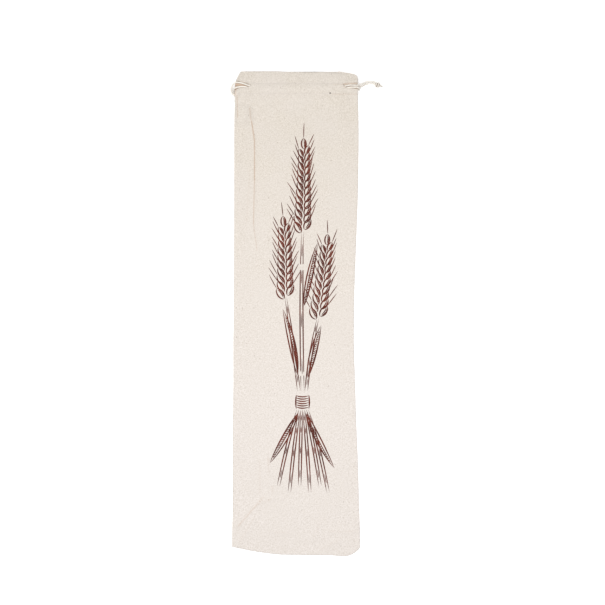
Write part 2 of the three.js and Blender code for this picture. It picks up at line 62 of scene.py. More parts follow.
LENGTH, WIDTH = 660.0, 170.0
MOUTH_Y, BOTTOM_Y = LENGTH / 2, -LENGTH / 2
UPPER_STITCH_Y = MOUTH_Y - 16.5
LOWER_STITCH_Y = UPPER_STITCH_Y - 14.6
HEM_Y = LOWER_STITCH_Y - 1.9  # where the turned-in cloth of the casing ends
HEM_STEP = 1.2
PASSAGE_Y = (UPPER_STITCH_Y + LOWER_STITCH_Y) / 2  # the tunnel for the cords
PASSAGE_HALF = 6.3
SEAM = 4.3
RIM, RIM_STEPS = 1.3, 5  # how far in from its edges the skin is rounded, and the grid lines for it
STITCH_PITCH, STITCH_LENGTH, STITCH_RADIUS = 3.0, 2.22, 0.23
STITCHES_FROM, STITCHES_TO = -79.5, 81.5

# the sides of the outline: y, left x, right x
SIDES = np.array([
    (-317, -87.3, 87.3), (-295, -87, 87.2), (-255, -86.4, 85.9), (-200, -86.3, 84.4), (-145, -86.2, 82.1),
    (-91, -85.5, 80.6), (-50, -85.6, 79.2), (20, -84.9, 79.5), (87, -84.6, 81.7), (155, -84.4, 84.2),
    (200, -84.4, 85.1), (262, -84.2, 85.3), (298, -83.5, 84.5), (306, -83.5, 84.4), (315, -82.5, 84.4),
    (321, -80.2, 84.3), (324, -78.8, 83.2), (325.8, -77.8, 80.5), (327.2, -77.1, 75), (328.6, -76.1, 66.8),
    (330, -74.5, 60),
])
# the bottom edge: x, y
BOTTOM_EDGE = np.array([
    (-87.3, -318.4), (-65, -323.2), (-49, -325.8), (-27, -328.6), (6, -329.6),
    (46, -330), (74, -329.7), (79, -327.4), (83.3, -324), (87.3, -320),
])
BOTTOM_BLEND = 45.0  # how far up from the bottom the rows follow it
# the front lip of the mouth lies a little below the back one: x, set back
LIP_SET = np.array([(-25, 0), (-10, 0.9), (55, 0.9), (70, 0)])
LIP_ROWS = 4.0  # how far down from the mouth its rows follow it
LIP_FADE = 20  # it is full a twentieth of the width in from the sides
MOUTH_OPEN = 6.0  # how far down from the mouth the inside runs right up to the sides
# at the left end the pulled cord has opened the casing upwards: x, rise
CASING_RISE = np.array([(-90, 5.4), (-80, 5.2), (-70, 3.2), (-57, 0), (60, 0), (84, 1)])

# the slits that the cords come out of, from the tip outwards: x, lower lip y, upper lip y
FRONT_SLITS = (
    np.array([
        (-96, 302, 317.9), (-83.4, 302.6, 317.5), (-81.2, 305, 317.1), (-78, 306.7, 316.6),
        (-72.9, 307.1, 315.6), (-66.8, 306.9, 314), (-61.4, 310.2, 310.5),
    ]),
    np.array([
        (64, 311.6, 311.9), (67.6, 307.4, 313), (74, 306.4, 313.8), (83, 305.5, 314.3), (96, 305.2, 314.4),
    ]),
)
BACK_SLITS = (
    np.array([(-96, 295.5, 315.7), (-81.8, 296, 314.4), (-68, 300.8, 311.5), (-58, 306.8, 307.2)]),
    np.array([(63.4, 306.6, 307), (73.6, 300.9, 311.3), (84.4, 297.8, 314.4), (96, 297.2, 315)]),
)

SLIT_EDGE = 0.9
SLIT_SINK = 0.15  # of the front slits' floor into the inner cloth
BACK_SLIT_SHARE = 0.85  # of the tunnel's height, open at the back slits

# ---------------- heights and folds, millimetres

CLOTH = 1.05  # thickness
SLACK = 0.7  # between the front and the back
FRONT_STACK = 2 * CLOTH + SLACK
LEAST_GAP = 0.3
EDGE_LEVEL = 0.45  # of the whole height, where front and back meet at the sides
FRONT_FROM = 1.2  # over the back's outside, where the front's painted shade starts
PASSAGE = 2.9  # height of the tunnel for the cords
PASSAGE_FALL = (0.5, 0.66)  # where its fall starts and how long it is, as shares of its half width
HEM_RISE = (0.25, 0.35)  # of the turned-in cloth, along the sides and in the middle
HEM_EASE = (285.0, 12.0)  # from y, over
STITCH_DEPTH, STITCH_HALF, PUCKER = 0.38, 0.9, 0.09
INK_OVER = 0.2  # how far the print stands over the cloth

# the front's height over the surface down the middle of the bag: y, height
MIDDLE_HEIGHT = np.array([
    (240, 0), (256, 0.15), (270, 1.1), (284, 3.1), (293, 4.9), (296, 5.6), (299, 6.3), (302, 7.2),
    (306.2, 7.7), (310.4, 7.3), (313.5, 6.4), (319, 5.6), (325, 4.6), (330, 3.5),
])
MIDDLE_RUN = (5.0, 30.0)  # where the middle's height takes over, from a side inwards
# the same along the sides, where the cloth lies closer over the casing's layers: y, height
SIDE_HEIGHT = np.array([
    (258, 0), (272, 0.25), (283, 0.9), (292, 2.2), (298, 3.9), (301.5, 5.5), (304.5, 6.9), (307.5, 7.6),
    (311, 7.5), (315, 6.2), (319.5, 4.7), (325, 3.2), (330, 2.1),
])

# broad slack in the front: x, y, half lengths, rise
SWELLS = (
    (-25, 215, 42, 60, 0.8), (35, 150, 34, 70, 0.7), (-20, 5, 50, 55, 0.9), (38, -35, 30, 45, 0.6),
    (-15, -160, 48, 60, 0.9), (45, -215, 30, 60, 0.8), (-45, -285, 30, 25, 0.8),
)
SLACK_FROM = 6  # over the bottom
SLACK_FADE = (14, 20)  # in from the seams, down from the hem

# folds: from x, y to x, y, then the soft ridge's rise and half width, and the depth of the painted shade
# along the crease
FOLDS = (
    (-63, 280, -61.5, 264, 0.35, 3.0, 0.5),
    (-60.5, 262, -56.6, 236, 0.6, 2.6, 1.0),
    (-56.6, 236, -56.6, 182, 0.6, 2.6, 0.9),
    (-56.6, 182, -58, 121, 0.5, 2.8, 0.6),
    (-58, 121, -53, 86, 0.35, 3.0, 0.35),
    (-63, 196, -68, 121, 0.3, 4.0, 0.12),
    (-84, 62, 81, 63.5, 0.35, 5.0, 0.1),
    (-85, -83, 80, -81.5, 0.3, 5.0, 0.1),
    (-50, -200, -49.5, -246, 0.45, 3.0, 0.1),
    (-38, -196, -38.8, -235, 0.45, 3.0, 0.35),
    (-32.8, -236, -33.4, -252, 0.5, 3.5, 0.3),
    (-33.4, -252, -43, -257, 0.5, 3.5, 0.2),
    (-45, -251, -79, -290, 0.8, 4.5, 0.5),
    (-56, -276, -77, -312, 0.6, 4.5, 0.12),
    (-31, -298, -11, -299, 0.4, 5.0, 0.1),
    (24, -306, 32, -286, 0.5, 5.0, 0.12),
    (46, -297, 78, -297, 0.5, 5.0, 0.12),
    (35, -322, 61, -307, 0.5, 5.0, 0.12),
    (-80.2, 296, -79.6, 267, -0.25, 1.4, 0.5),
)
# half width of the painted shade along each crease
CREASE_HALF = 0.65

# ---------------- tones by place, millimetres

# narrow shadows in the cloth, at the slits' lips, beside the cords and at the mouth: from x, y to x, y, then
# depth and half width. The cool ones are grey, and the warm ones have light from the cloth round them.
COOL_SHADES = (
    (-82.0, 316.8, -76.5, 316.0, 0.5, 0.45),
    (-68.0, 314.2, -65.6, 313.7, 0.4, 0.5),
    (-62.4, 311.0, -62.0, 310.4, 0.7, 0.8),
    (-82.6, 310.8, -80.2, 310.2, 0.6, 0.7),
    (9, 329.4, 29, 329.4, 1.0, 0.8),
    (29, 329.5, 38, 329.6, 0.3, 0.6),
    (-4, 329.5, 9, 329.4, 0.3, 0.6),
)
WARM_SHADES = (
    (-77, 309.8, -64.8, 310.0, 0.9, 0.7),
    (-82.3, 305.2, -83.5, 297.5, 0.42, 1.6),
    (62.5, 311.4, 69.0, 313.7, 0.45, 0.5),
    (69, 313.9, 84.2, 313.6, 0.3, 0.5),
    (50, 311.2, 62, 311.2, 0.12, 0.7),
    (68, 306.0, 84, 305.8, 0.1, 0.5),
    (48, 298.6, 83, 298.6, 0.2, 0.6),
)
# the warm dusk in the slits, below the upper cord: x, from y, to y
DUSKY = (
    np.array([
        (-96, 302, 314.2), (-83.4, 302.6, 314.2), (-77, 306.7, 314), (-72.9, 307, 313.2),
        (-66.8, 306.9, 311.3), (-61.4, 310.2, 310.5),
    ]),
    np.array([
        (64, 307.4, 307.9), (68, 307.4, 310.9), (74, 306.6, 311), (84, 305.7, 310.8), (96, 305.2, 311),
    ]),
)
DUSKY_DEPTH = 0.66
# the same on the cords, as spots: x, y, radius, depth
CORD_DUSK = (
    (-86.5, 303.5, 6.0, 0.4),
    (-80.5, 311.5, 3.0, 0.3),
    (-66, 312, 5.0, 0.3),
    (70, 311.2, 3.0, 0.4),
    (76, 311.8, 3.0, 0.4),
    (82, 311.6, 3.0, 0.4),
    (86.0, 309.4, 1.8, 1.0),
)
# the line between the two ends of cord A that lie side by side to the right of the bag: x, y
TAIL = np.array([
    (84, 310), (88.6, 311.2), (92.6, 312.9), (96.4, 314.6), (100.6, 315.4), (104.4, 315.2), (108, 314.5),
])
TAIL_FROM, TAIL_DUSK = 86, 0.45
NEP = (0.0465, 0.2997, 0.0)  # metres: where a dark knot of fibre is caught in the front

# ---------------- lift and drawcords, millimetres

# what lies under the left edge lifts the bag: from x, y to x, y, then height, core and the fade round it
LIFTS = (
    (-84, 298.5, -82, 297.5, 4.35, 3.2, 7),
    (-83, 294, -78, 288, 2.8, 4.5, 12),
    (-76, 298, -74.8, 276, 2.8, 4.5, 15),
    (-74.6, 275, -74.6, 270, 5.4, 4, 15),
)
LIFT_ENDS = (308.5, 299.5)  # from y, full from y
EDGE_DROOP = (4.0, 291.0, 284.0)  # width, from y, to y

Z_BACK, Z_FRONT = 2.5, 8.2

ROUTE_A = (
    (107.4, 315.7, 2.2), (104.3, 316.5, 1.5), (100.2, 316.8, 1.15), (96.1, 315.8, 1.5), (92.5, 313.9, 3.2),
    (89.2, 312.3, 6), (85.8, 311, 8.15), (81.8, 310.5, 8.35), (73.6, 310.8, Z_FRONT), (69.2, 310, 8.15),
    (64.8, 308.8, 8.15), (57, 308.8, Z_FRONT), (-8.2, 308.9, Z_FRONT), (-49, 308.7, Z_FRONT),
    (-56.5, 308.8, Z_FRONT), (-61.5, 309.5, Z_FRONT), (-67, 311.2, Z_FRONT), (-73.6, 313.5, 8.3),
    (-79.1, 314.4, 8.3), (-82.9, 313.9, 8.1), (-85.8, 311.6, 7.4), (-87.4, 308.2, 6.3), (-88, 304.7, 5.5),
    (-87.8, 301.7, 4.9), (-86.4, 299.3, 4.4), (-84.2, 298.2, 4.1), (-81.8, 298.7, 3.65),
    (-79.9, 300.5, 3.3), (-78.3, 302.8, 3), (-76.1, 305.4, 2.7), (-71.6, 307.8, Z_BACK), (-60, 309, Z_BACK),
    (-8.2, 308.9, Z_BACK), (32.7, 308.9, Z_BACK), (66.8, 308.9, Z_BACK), (77.7, 308.9, 2.4),
    (83.9, 308.7, 2.1), (88.6, 309.8, 1.7), (92.7, 311.7, 1.25), (96.8, 313.4, 1.12), (100.9, 314.1, 1.15),
    (104.5, 313.9, 1.4), (106.5, 313.2, 2.2),
)

ROUTE_B = (
    (-75.8, 276.1, 1.8), (-76.4, 280.2, 1.2), (-77.3, 285.7, 1.12), (-78.9, 290.9, 1.12),
    (-81, 294.6, 1.12), (-83.2, 297.4, 1.15), (-84.6, 299.8, 1.55), (-85.1, 301.8, 3), (-85.2, 303.2, 4.9),
    (-85, 304.7, 6.9), (-83.8, 306.2, 8.5), (-80.8, 307.5, 9.1), (-76.6, 308.4, 8.8), (-70.9, 308.7, 8.5),
    (-64.1, 307.2, 8.35), (-57.3, 305.3, Z_FRONT), (-49.1, 304.3, Z_FRONT), (-8.2, 304.1, Z_FRONT),
    (32.7, 304.1, Z_FRONT), (57.3, 304.5, Z_FRONT), (66.8, 306.6, Z_FRONT), (73.6, 307.9, Z_FRONT),
    (79.2, 308, 8.5), (83, 307.9, 8.75), (85, 307.7, 8.4), (86.4, 307.1, 7.1), (86.8, 306.4, 5.35),
    (86.4, 305.7, 3.6), (85, 305.1, 2.3), (83, 304.8, 1.9), (78.4, 304.5, 2.2), (68.2, 303.8, Z_BACK),
    (32.7, 304.1, Z_BACK), (-8.2, 304.1, Z_BACK), (-48, 304.1, Z_BACK), (-56.5, 304.3, 2.5),
    (-60.5, 304.7, 2.64), (-64.5, 304.8, 2.66), (-69.5, 304.7, 2.4), (-73.9, 302.9, 1.7),
    (-75.7, 299.6, 1.15), (-75.3, 295.2, 1.12), (-74, 289.1, 1.12), (-73, 283, 1.12), (-72.9, 278.9, 1.25),
    (-73.2, 275.9, 1.8),
)
# letter, route, length and exit in metres, the knot's place and its heading in degrees
CORDS = (
    ("a", ROUTE_A, 0.411, (0.0850, 0.3110, 0.0080), (107.6, 313.0), -18.0),
    ("b", ROUTE_B, 0.4015, (-0.0830, 0.2970, 0.0012), (-74.5, 275.9), -93.0),
)
RING_STEP, CORD_SIDES, CORD_GROOVE = 0.36, 18, 0.12  # of a cord's tube
KNOT_TURNS, KNOT_TUCK, KNOT_FLAT, KNOT_GROOVE = 1.75, 0.14, 0.62, 0.14
KNOT_START, KNOT_LENGTH = 1.15, 5.0  # of its helix
KNOT_CORE, KNOT_SWELL = 1.0, 1.85  # the helix's radius where it is tucked in, and what it grows by
KNOT_SIDE = 0.8  # how far the two ends lie from the knot's middle
KNOT_LIFT = 0.05  # over the surface
KNOT_RINGS, END_RINGS, END_SIDES = 260, 40, 12
THREADS, THREAD_POINTS, THREAD_SIDES = 44, 9, 5  # at its frayed end
THREAD_FROM, THREAD_LENGTH, THREAD_RADIUS = 6.3, (4.0, 6.2), (0.3, 0.13)
THREAD_SPREAD = (1.75, 0.8)  # aside, over

# ---------------- number tools


def linear(red, green, blue):
    """A colour from 0 to 255 as light."""
    value = np.array([red, green, blue]) / 255
    return tuple(np.where(value <= 0.04045, value / 12.92, ((value + 0.055) / 1.055) ** 2.4).tolist())


def smooth(value):
    """The S-shaped step 3t^2 - 2t^3 of a value held between 0 and 1."""
    t = np.clip(value, 0.0, 1.0)
    return t * t * (3.0 - 2.0 * t)


def read(table, at, column=1):
    """Straight-line reading of one column of a table whose first column rises."""
    return np.interp(at, table[:, 0], table[:, column])


def read_smooth(table, at, column=1):
    """Cubic reading of a table: between two entries the value follows a Hermite curve, whose slope at each
    entry is the average slope of the stretches on both sides of it."""
    places, values = table[:, 0], table[:, column]
    slopes = np.gradient(values, places)
    low = np.clip(np.searchsorted(places, at) - 1, 0, len(places) - 2)
    run = places[low + 1] - places[low]
    t = np.clip((at - places[low]) / run, 0.0, 1.0)
    return (
        (2 * t**3 - 3 * t**2 + 1) * values[low]
        + (t**3 - 2 * t**2 + t) * run * slopes[low]
        + (3 * t**2 - 2 * t**3) * values[low + 1]
        + (t**3 - t**2) * run * slopes[low + 1]
    )


def bell(away, half):
    """A bell-shaped fall with the distance: exp(-(away / half)^2)."""
    return np.exp(-((away / half) ** 2))


def distance_to(x, y, from_x, from_y, to_x, to_y):
    """How far each point lies from a straight stretch: the point's share along it is held between 0 and 1."""
    run_x, run_y = to_x - from_x, to_y - from_y
    along = np.clip(((x - from_x) * run_x + (y - from_y) * run_y) / (run_x**2 + run_y**2), 0, 1)
    return np.hypot(x - from_x - along * run_x, y - from_y - along * run_y)


def shade_lines(shades, x, y):
    """Narrow shadows, as bells across their lines. Where two meet, the deeper one counts."""
    return np.max([depth * bell(distance_to(x, y, *line), half) for *line, depth, half in shades], axis=0)


def catmull(points, count):
    """A smooth line through given points: the centripetal Catmull-Rom curve, sampled evenly along its
    length."""
    p = np.asarray(points, float)
    p = np.vstack([2 * p[0] - p[1], p, 2 * p[-1] - p[-2]])
    knots = np.concatenate([[0], np.cumsum(np.linalg.norm(np.diff(p, axis=0), axis=1) ** 0.5)])
    at = np.linspace(knots[1], knots[-2], 6000)
    i = np.clip(np.searchsorted(knots, at, side="right") - 1, 1, len(p) - 3)
    k = [knots[i + step][:, None] for step in (-1, 0, 1, 2)]
    q = [p[i + step] for step in (-1, 0, 1, 2)]
    t = at[:, None]

    def between(low, high, start, end):
        return (high - t) / (high - low) * start + (t - low) / (high - low) * end

    a = [between(k[n], k[n + 1], q[n], q[n + 1]) for n in range(3)]
    b = [between(k[n], k[n + 2], a[n], a[n + 1]) for n in range(2)]
    line = between(k[1], k[2], b[0], b[1])
    run = np.concatenate([[0], np.cumsum(np.linalg.norm(np.diff(line, axis=0), axis=1))])
    even = np.linspace(0, run[-1], count)
    return np.column_stack([np.interp(even, run, line[:, axis]) for axis in range(3)])


# ---------------- heights of the cloth, millimetres


def edges(y):
    """The left and the right x of the outline."""
    return read_smooth(SIDES, y, 1), read_smooth(SIDES, y, 2)


def from_side(x, y):
    """How far a place lies in from the nearer side."""
    left, right = edges(y)
    return np.minimum(x - left, right - x)


def lift(x, y):
    """How high the underside is lifted: the most that any of the things below it gives, none at the casing's
    upper part, and eased down to the surface along the left edge below the crossing cords."""
    most = np.zeros_like(x)
    for *line, height, core, fade in LIFTS:
        most = np.maximum(most, height * (1 - smooth((distance_to(x, y, *line) - core) / fade)))
    width, start, end = EDGE_DROOP
    droop = smooth((start - y) / (start - end)) * (1 - smooth((x - edges(y)[0]) / width))
    below = smooth((LIFT_ENDS[0] - y) / (LIFT_ENDS[0] - LIFT_ENDS[1]))
    return most * below * (1 - droop)


def passage(x, y):
    """Height of the tunnel for the cords: full over half of its width, then an S-shaped fall to the
    stitching. Towards the ends its upper half is wider."""
    above = y - PASSAGE_Y
    half = PASSAGE_HALF + np.where(above > 0, read(CASING_RISE, x), 0)
    return PASSAGE * (1 - smooth((np.abs(above) / half - PASSAGE_FALL[0]) / PASSAGE_FALL[1]))


def turned_in(y):
    """1 where the cloth is doubled by the hem and 0 below, over one step."""
    return np.clip((y - HEM_Y + HEM_STEP) / HEM_STEP, 0, 1)


def swell(x, y):
    """Broad slack: bell-shaped rises that fade out at the side seams, the bottom and the hem."""
    total = sum(rise * bell(x - cx, half_x) * bell(y - cy, half_y) for cx, cy, half_x, half_y, rise in SWELLS)
    seam = np.minimum(from_side(x, y), y - BOTTOM_Y - SLACK_FROM) - SEAM
    return total * smooth(seam / SLACK_FADE[0]) * smooth((HEM_Y - y) / SLACK_FADE[1])


def fold_ridges(x, y):
    """Bell-shaped ridges along the fold lines."""
    return sum(rise * bell(distance_to(x, y, *line), half) for *line, rise, half, _ in FOLDS)


def rumple(x, y):
    """The slight unevenness of washed linen: a few crossing waves, 18 to 70 mm long and under 0.1 mm high."""
    waves = (
        0.07 * np.sin(x / 7.1 + 1.3 * np.sin(y / 23.0)) * np.sin(y / 11.3 + 0.7)
        + 0.05 * np.sin(x / 3.3 + y / 9.1) * np.sin(y / 17.0 + 2.1)
        + 0.06 * np.sin(y / 4.9 + 1.1 * np.sin(x / 13.0)) * np.sin(x / 19.0 + 0.4)
    )
    return waves * smooth((from_side(x, y) - SEAM) / 6)


def stitch_groove(x, y):
    """The pull of the two rows of stitching: a narrow trough along each, pinched between the stitches."""
    pinched = 0.8 + 0.2 * np.cos(x * 2 * np.pi / STITCH_PITCH)
    rows = (UPPER_STITCH_Y + read(CASING_RISE, x), LOWER_STITCH_Y)
    depth = sum(STITCH_DEPTH * bell(y - row, STITCH_HALF) * pinched for row in rows)
    pucker = PUCKER * np.sin(x / 1.9 + 1.4 * np.sin(x / 9.0)) * bell(y - LOWER_STITCH_Y, 7)
    return (depth - pucker) * smooth((from_side(x, y) - 1) / 3)


def inside_slits(slits, x, y):
    """1 between the lips of a slit and 0 outside, with a soft edge."""
    most = np.zeros_like(x)
    for lips in slits:
        low, high = read(lips, x, 1), read(lips, x, 2)
        reach = np.minimum(y - low, high - y)
        within = (x >= lips[0, 0]) & (x <= lips[-1, 0])
        most = np.maximum(most, np.where(within, smooth(reach / SLIT_EDGE), 0))
    return most


def front_height(x, y, with_slits=True):
    """Outside of the front: over two layers of cloth it passes the casing in one long low swell, higher and
    shorter along the sides than in the middle. At the slits it drops to the tunnel's floor."""
    rise = smooth((y - PASSAGE_Y) / PASSAGE_HALF) * read(CASING_RISE, x)
    hem = turned_in(y) - smooth((y - HEM_EASE[0]) / HEM_EASE[1])
    layers = FRONT_STACK + read_smooth(SIDE_HEIGHT, y - 0.6 * rise) + HEM_RISE[0] * hem
    middle = FRONT_STACK + read_smooth(MIDDLE_HEIGHT, y) + HEM_RISE[1] * hem
    share = smooth((from_side(x, y) - MIDDLE_RUN[0]) / (MIDDLE_RUN[1] - MIDDLE_RUN[0]))
    height = layers + share * (middle - layers) + swell(x, y) + fold_ridges(x, y) + rumple(x, y)
    height = height - stitch_groove(x, y)
    if with_slits:
        floor = FRONT_STACK + CLOTH * turned_in(y) + passage(x, y) - SLIT_SINK
        height = height + inside_slits(FRONT_SLITS, x, y) * np.minimum(floor - height, 0)
    return lift(x, y) + height


def back_height(x, y, with_slits=True):
    """Outside of the back: flat on the surface but for the lift, and open at the slits up into its tunnel."""
    height = lift(x, y)
    if with_slits:
        height = height + inside_slits(BACK_SLITS, x, y) * (CLOTH + BACK_SLIT_SHARE * passage(x, y))
    return height


# ---------------- the skin's grid


def lines(*bands):
    """Grid lines over bands of (from, to, step), the last end included."""
    parts = [np.linspace(a, b, max(1, round(abs(b - a) / step)), endpoint=False) for a, b, step in bands]
    return np.concatenate([*parts, [bands[-1][1]]])


def rim_lines():
    """Lines that round an edge evenly: RIM * (1 - cos) of equal steps of a quarter turn."""
    return RIM * (1 - np.cos(np.linspace(0, np.pi / 2, RIM_STEPS)))


def across_lines():
    """Shares across a row, from 0 at the left side to 1 at the right."""
    rim = rim_lines()[:-1]
    inner = lines((RIM, 6, 0.7), (6, 34, 1.0), (34, 138, 2.4), (138, 164, 1.0), (164, WIDTH - RIM, 0.7))
    return np.concatenate([rim, inner, (WIDTH - rim)[::-1]]) / WIDTH


def row_lines():
    """Rows down the bag, from the mouth to the bottom."""
    rim, low = rim_lines()[:-1], BOTTOM_Y + 6
    mouth = (MOUTH_Y - RIM, 296, 0.75), (296, 255, 1.5)
    below = (255, -240, 3.0), (-240, low, 1.8), (low, BOTTOM_Y + RIM, 0.9)
    return np.concatenate([MOUTH_Y - rim, lines(*mouth, *below), (BOTTOM_Y + rim)[::-1]])


def deep_rows(rows):
    """Rows of the inside, which ends at the bottom seam: fine at the mouth, wide apart below it."""
    inner = lines((MOUTH_Y - 9, BOTTOM_Y + SEAM + 8, 7.5))
    return np.concatenate([rows[rows > MOUTH_Y - 8], inner, BOTTOM_Y + SEAM + rim_lines()[::-1]])


def in_plan(share, row, seam=0.0):
    """Where a share of a row lies: between the sides, or a seam's width in from them, with the bottom rows
    bent like the bottom edge."""
    left, right = edges(row)
    x = left + seam + share * (right - left - 2 * seam)
    bend = np.clip(1 - (row - BOTTOM_Y) / BOTTOM_BLEND, 0, 1)
    return x, row + bend * (read_smooth(BOTTOM_EDGE, x) - BOTTOM_Y)


def rounded(inwards):
    """The quarter of an ellipse by which an edge is rounded: sqrt(1 - (1 - d)^2), 0 at the edge, 1 past its
    rim."""
    t = np.clip(inwards / RIM, 0, 1)
    return np.sqrt(np.clip(1 - (1 - t) ** 2, 0, 1))


def levels(x, y, row):
    """The four heights of the skin at a place, lowest first: outside of the back, inside of the back,
    inside of the front, outside of the front. At the sides all four close on one line, and at the mouth the
    two of each lip close on its nose."""
    back, front = back_height(x, y), front_height(x, y)
    plain_back, plain_front = back_height(x, y, False), front_height(x, y, False)
    doubled = CLOTH * (1 + turned_in(y))
    inner_back = plain_back + doubled + passage(x, y)
    inner_front = np.maximum(plain_front - doubled - passage(x, y), inner_back + LEAST_GAP)
    heights = np.stack([back, inner_back, inner_front, front])
    bottom = rounded(np.where(row < 0, row - BOTTOM_Y, RIM))
    side = rounded(from_side(x, row)) * bottom
    line = plain_back + EDGE_LEVEL * (plain_front - plain_back)
    heights = line + (heights - line) * side
    lip = rounded(MOUTH_Y - row)
    for low, high in ((0, 1), (2, 3)):
        nose = (heights[low] + heights[high]) / 2
        heights[low] = nose - (nose - heights[low]) * lip
        heights[high] = nose + (heights[high] - nose) * lip
    return heights


def leaf(share, row, level):
    """One height field of the skin over a grid of shares and rows, as points in metres. The inner two close
    on their middle at the seams, but not at the mouth, and the front's two follow the front lip."""
    row, share = np.meshgrid(row, share, indexing="ij")
    inner = level in (1, 2)
    seam = SEAM * 0.6 * smooth((MOUTH_Y - row) / MOUTH_OPEN) if inner else 0.0
    x, y = in_plan(share, row, seam)
    heights = levels(x, y, row)
    if inner:
        left, right = edges(y)
        closing = rounded(np.minimum(row - BOTTOM_Y - SEAM, x - left - seam)) * rounded(right - seam - x)
        closing = np.maximum(closing, smooth(1 - (MOUTH_Y - row) / MOUTH_OPEN))
        closing[:, [0, -1]] = 0.0  # shut along the sides
        middle = (heights[1] + heights[2]) / 2
        heights[level] = middle + (heights[level] - middle) * closing
    if level >= 2:
        at_mouth = smooth((row - MOUTH_Y + LIP_ROWS) / LIP_ROWS)
        off_sides = smooth(LIP_FADE * np.minimum(share, 1 - share))
        y = y - at_mouth * read(LIP_SET, x) * off_sides
    return np.stack([x, y, heights[level]], axis=-1) * MM


def grid_faces(at, flipped):
    """Quads of a grid of point numbers, whose rows run down the bag."""
    a, b, c, d = at[:-1, :-1], at[1:, :-1], at[1:, 1:], at[:-1, 1:]
    return np.stack((d, c, b, a) if flipped else (a, b, c, d), axis=-1).reshape(-1, 4)


def welded(points, faces, grain=1e-7):
    """Points that share a place become one, and faces that lose a side to that lose it in their list."""
    places = np.round(points / grain).astype(np.int64)
    _, first, index = np.unique(places, axis=0, return_index=True, return_inverse=True)
    faces = index.reshape(-1)[faces]
    pinched = (faces == np.roll(faces, 1, axis=1)).any(axis=1)
    kept = []
    for face in faces[pinched]:
        corners = [c for n, c in enumerate(face) if c != face[n - 1]]
        if len(set(corners)) == len(corners) >= 3:
            kept.append(corners)
    return points[first], [*faces[~pinched].tolist(), *kept]


def placed(name, data):
    """A new object at the origin, in the scene."""
    piece = bpy.data.objects.new(name, data)
    bpy.context.scene.collection.objects.link(piece)
    return piece


def mesh_object(name, points, faces, material):
    """A mesh at the origin from points in metres, riding on the bag's body."""
    mesh = bpy.data.meshes.new(name)
    mesh.from_pydata(np.asarray(points).tolist(), [], faces)
    mesh.validate()
    mesh.polygons.foreach_set("use_smooth", [True] * len(mesh.polygons))
    mesh.materials.append(material)
    mesh.update()
    piece = placed(name, mesh)
    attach(piece, BODY)
    return piece


def point_attribute(piece, name, values):
    """One value for each point, which the piece's material reads."""
    layer = piece.data.attributes.new(name, "FLOAT", "POINT")
    layer.data.foreach_set("value", np.asarray(values, dtype=np.float32).ravel())


def skin():
    """The four leaves of the bag, joined along the sides, the bottom and both lips."""
    share, row = across_lines(), row_lines()
    points, faces, start = [], [], 0
    for level, flipped in ((3, False), (0, True), (2, True), (1, False)):
        grid = leaf(share, deep_rows(row) if level in (1, 2) else row, level)
        points.append(grid.reshape(-1, 3))
        faces.append(grid_faces(start + np.arange(len(points[-1])).reshape(grid.shape[:2]), flipped))
        start += len(points[-1])
    return welded(np.concatenate(points), np.concatenate(faces))


# ---------------- tubes


def carried_axes(path):
    """Two directions square to a path at each of its points. They are carried along without turning about it:
    each is the last one less what has come to lie along the path."""
    along = np.gradient(path, axis=0)
    along /= np.linalg.norm(along, axis=1, keepdims=True)
    side = np.zeros_like(path)
    start = np.cross(along[0], (0.0, 0.0, 1.0))
    side[0] = start / np.linalg.norm(start)
    for n in range(1, len(path)):
        rest = side[n - 1] - along[n] * (side[n - 1] @ along[n])
        side[n] = rest / np.linalg.norm(rest)
    return side, np.cross(along, side)


def tube(path, radius, sides, twist=0.0, strands=0, groove=0.0, ends=0.0):
    """A round profile carried along a path. Its radius is the given one less a groove between the strands,
    which turn about the path: r = radius * (1 - groove * (1 - |cos(strands / 2 * (angle - twist * run))|)).
    The ends close to a point over a short dome. It comes with how deep in a groove each point lies, and its
    outward direction."""
    path = np.asarray(path, float)
    run = np.concatenate([[0], np.cumsum(np.linalg.norm(np.diff(path, axis=0), axis=1))])
    side, up = carried_axes(path)
    angle = np.linspace(0, 2 * np.pi, sides, endpoint=False)
    wound = 1 - np.abs(np.cos(strands / 2 * (angle - twist * run[:, None])))
    r = np.reshape(radius, (-1, 1)) * (1 - groove * wound)
    if ends:
        near = np.clip(np.minimum(run, run[-1] - run) / ends, 0, 1)
        r = r * np.sqrt(np.clip(1 - (1 - near) ** 2, 0.02, 1))[:, None]
    outwards = side[:, None, :] * np.cos(angle)[:, None] + up[:, None, :] * np.sin(angle)[:, None]
    points = (path[:, None, :] + outwards * r[:, :, None]).reshape(-1, 3)
    at = np.arange(len(points)).reshape(r.shape)
    near, far = at[:-1], at[1:]
    faces = np.stack([near, np.roll(near, -1, 1), np.roll(far, -1, 1), far], axis=-1).reshape(-1, 4).tolist()
    faces += [at[0][::-1].tolist(), at[-1].tolist()]
    return points, faces, wound.ravel(), outwards.reshape(-1, 3)


def joined(parts):
    """Several (points, faces) as one."""
    points, faces, start = [], [], 0
    for some, theirs in parts:
        points.append(some)
        faces += [[corner + start for corner in face] for face in theirs]
        start += len(some)
    return np.concatenate(points), faces


# ---------------- materials

DARK_YARN, PALE_YARN = (0.835, 0.815, 0.775), 1.12
MOUTH_SHADE_TONE = (0.947, 0.936, 0.886)  # painted shade: the cloth is a little warmer and darker towards the mouth, where less light falls
MOUTH_SHADE_SPAN = (-0.15, 0.27)  # metres: from y, to y
CLOUD_TONE = (0.965, 0.955, 0.93)
SLUBS = (300, 1250)  # noise scales along and across the short thick places in the yarn
SPECKS, SPECK_SHARE = 620, 1.8
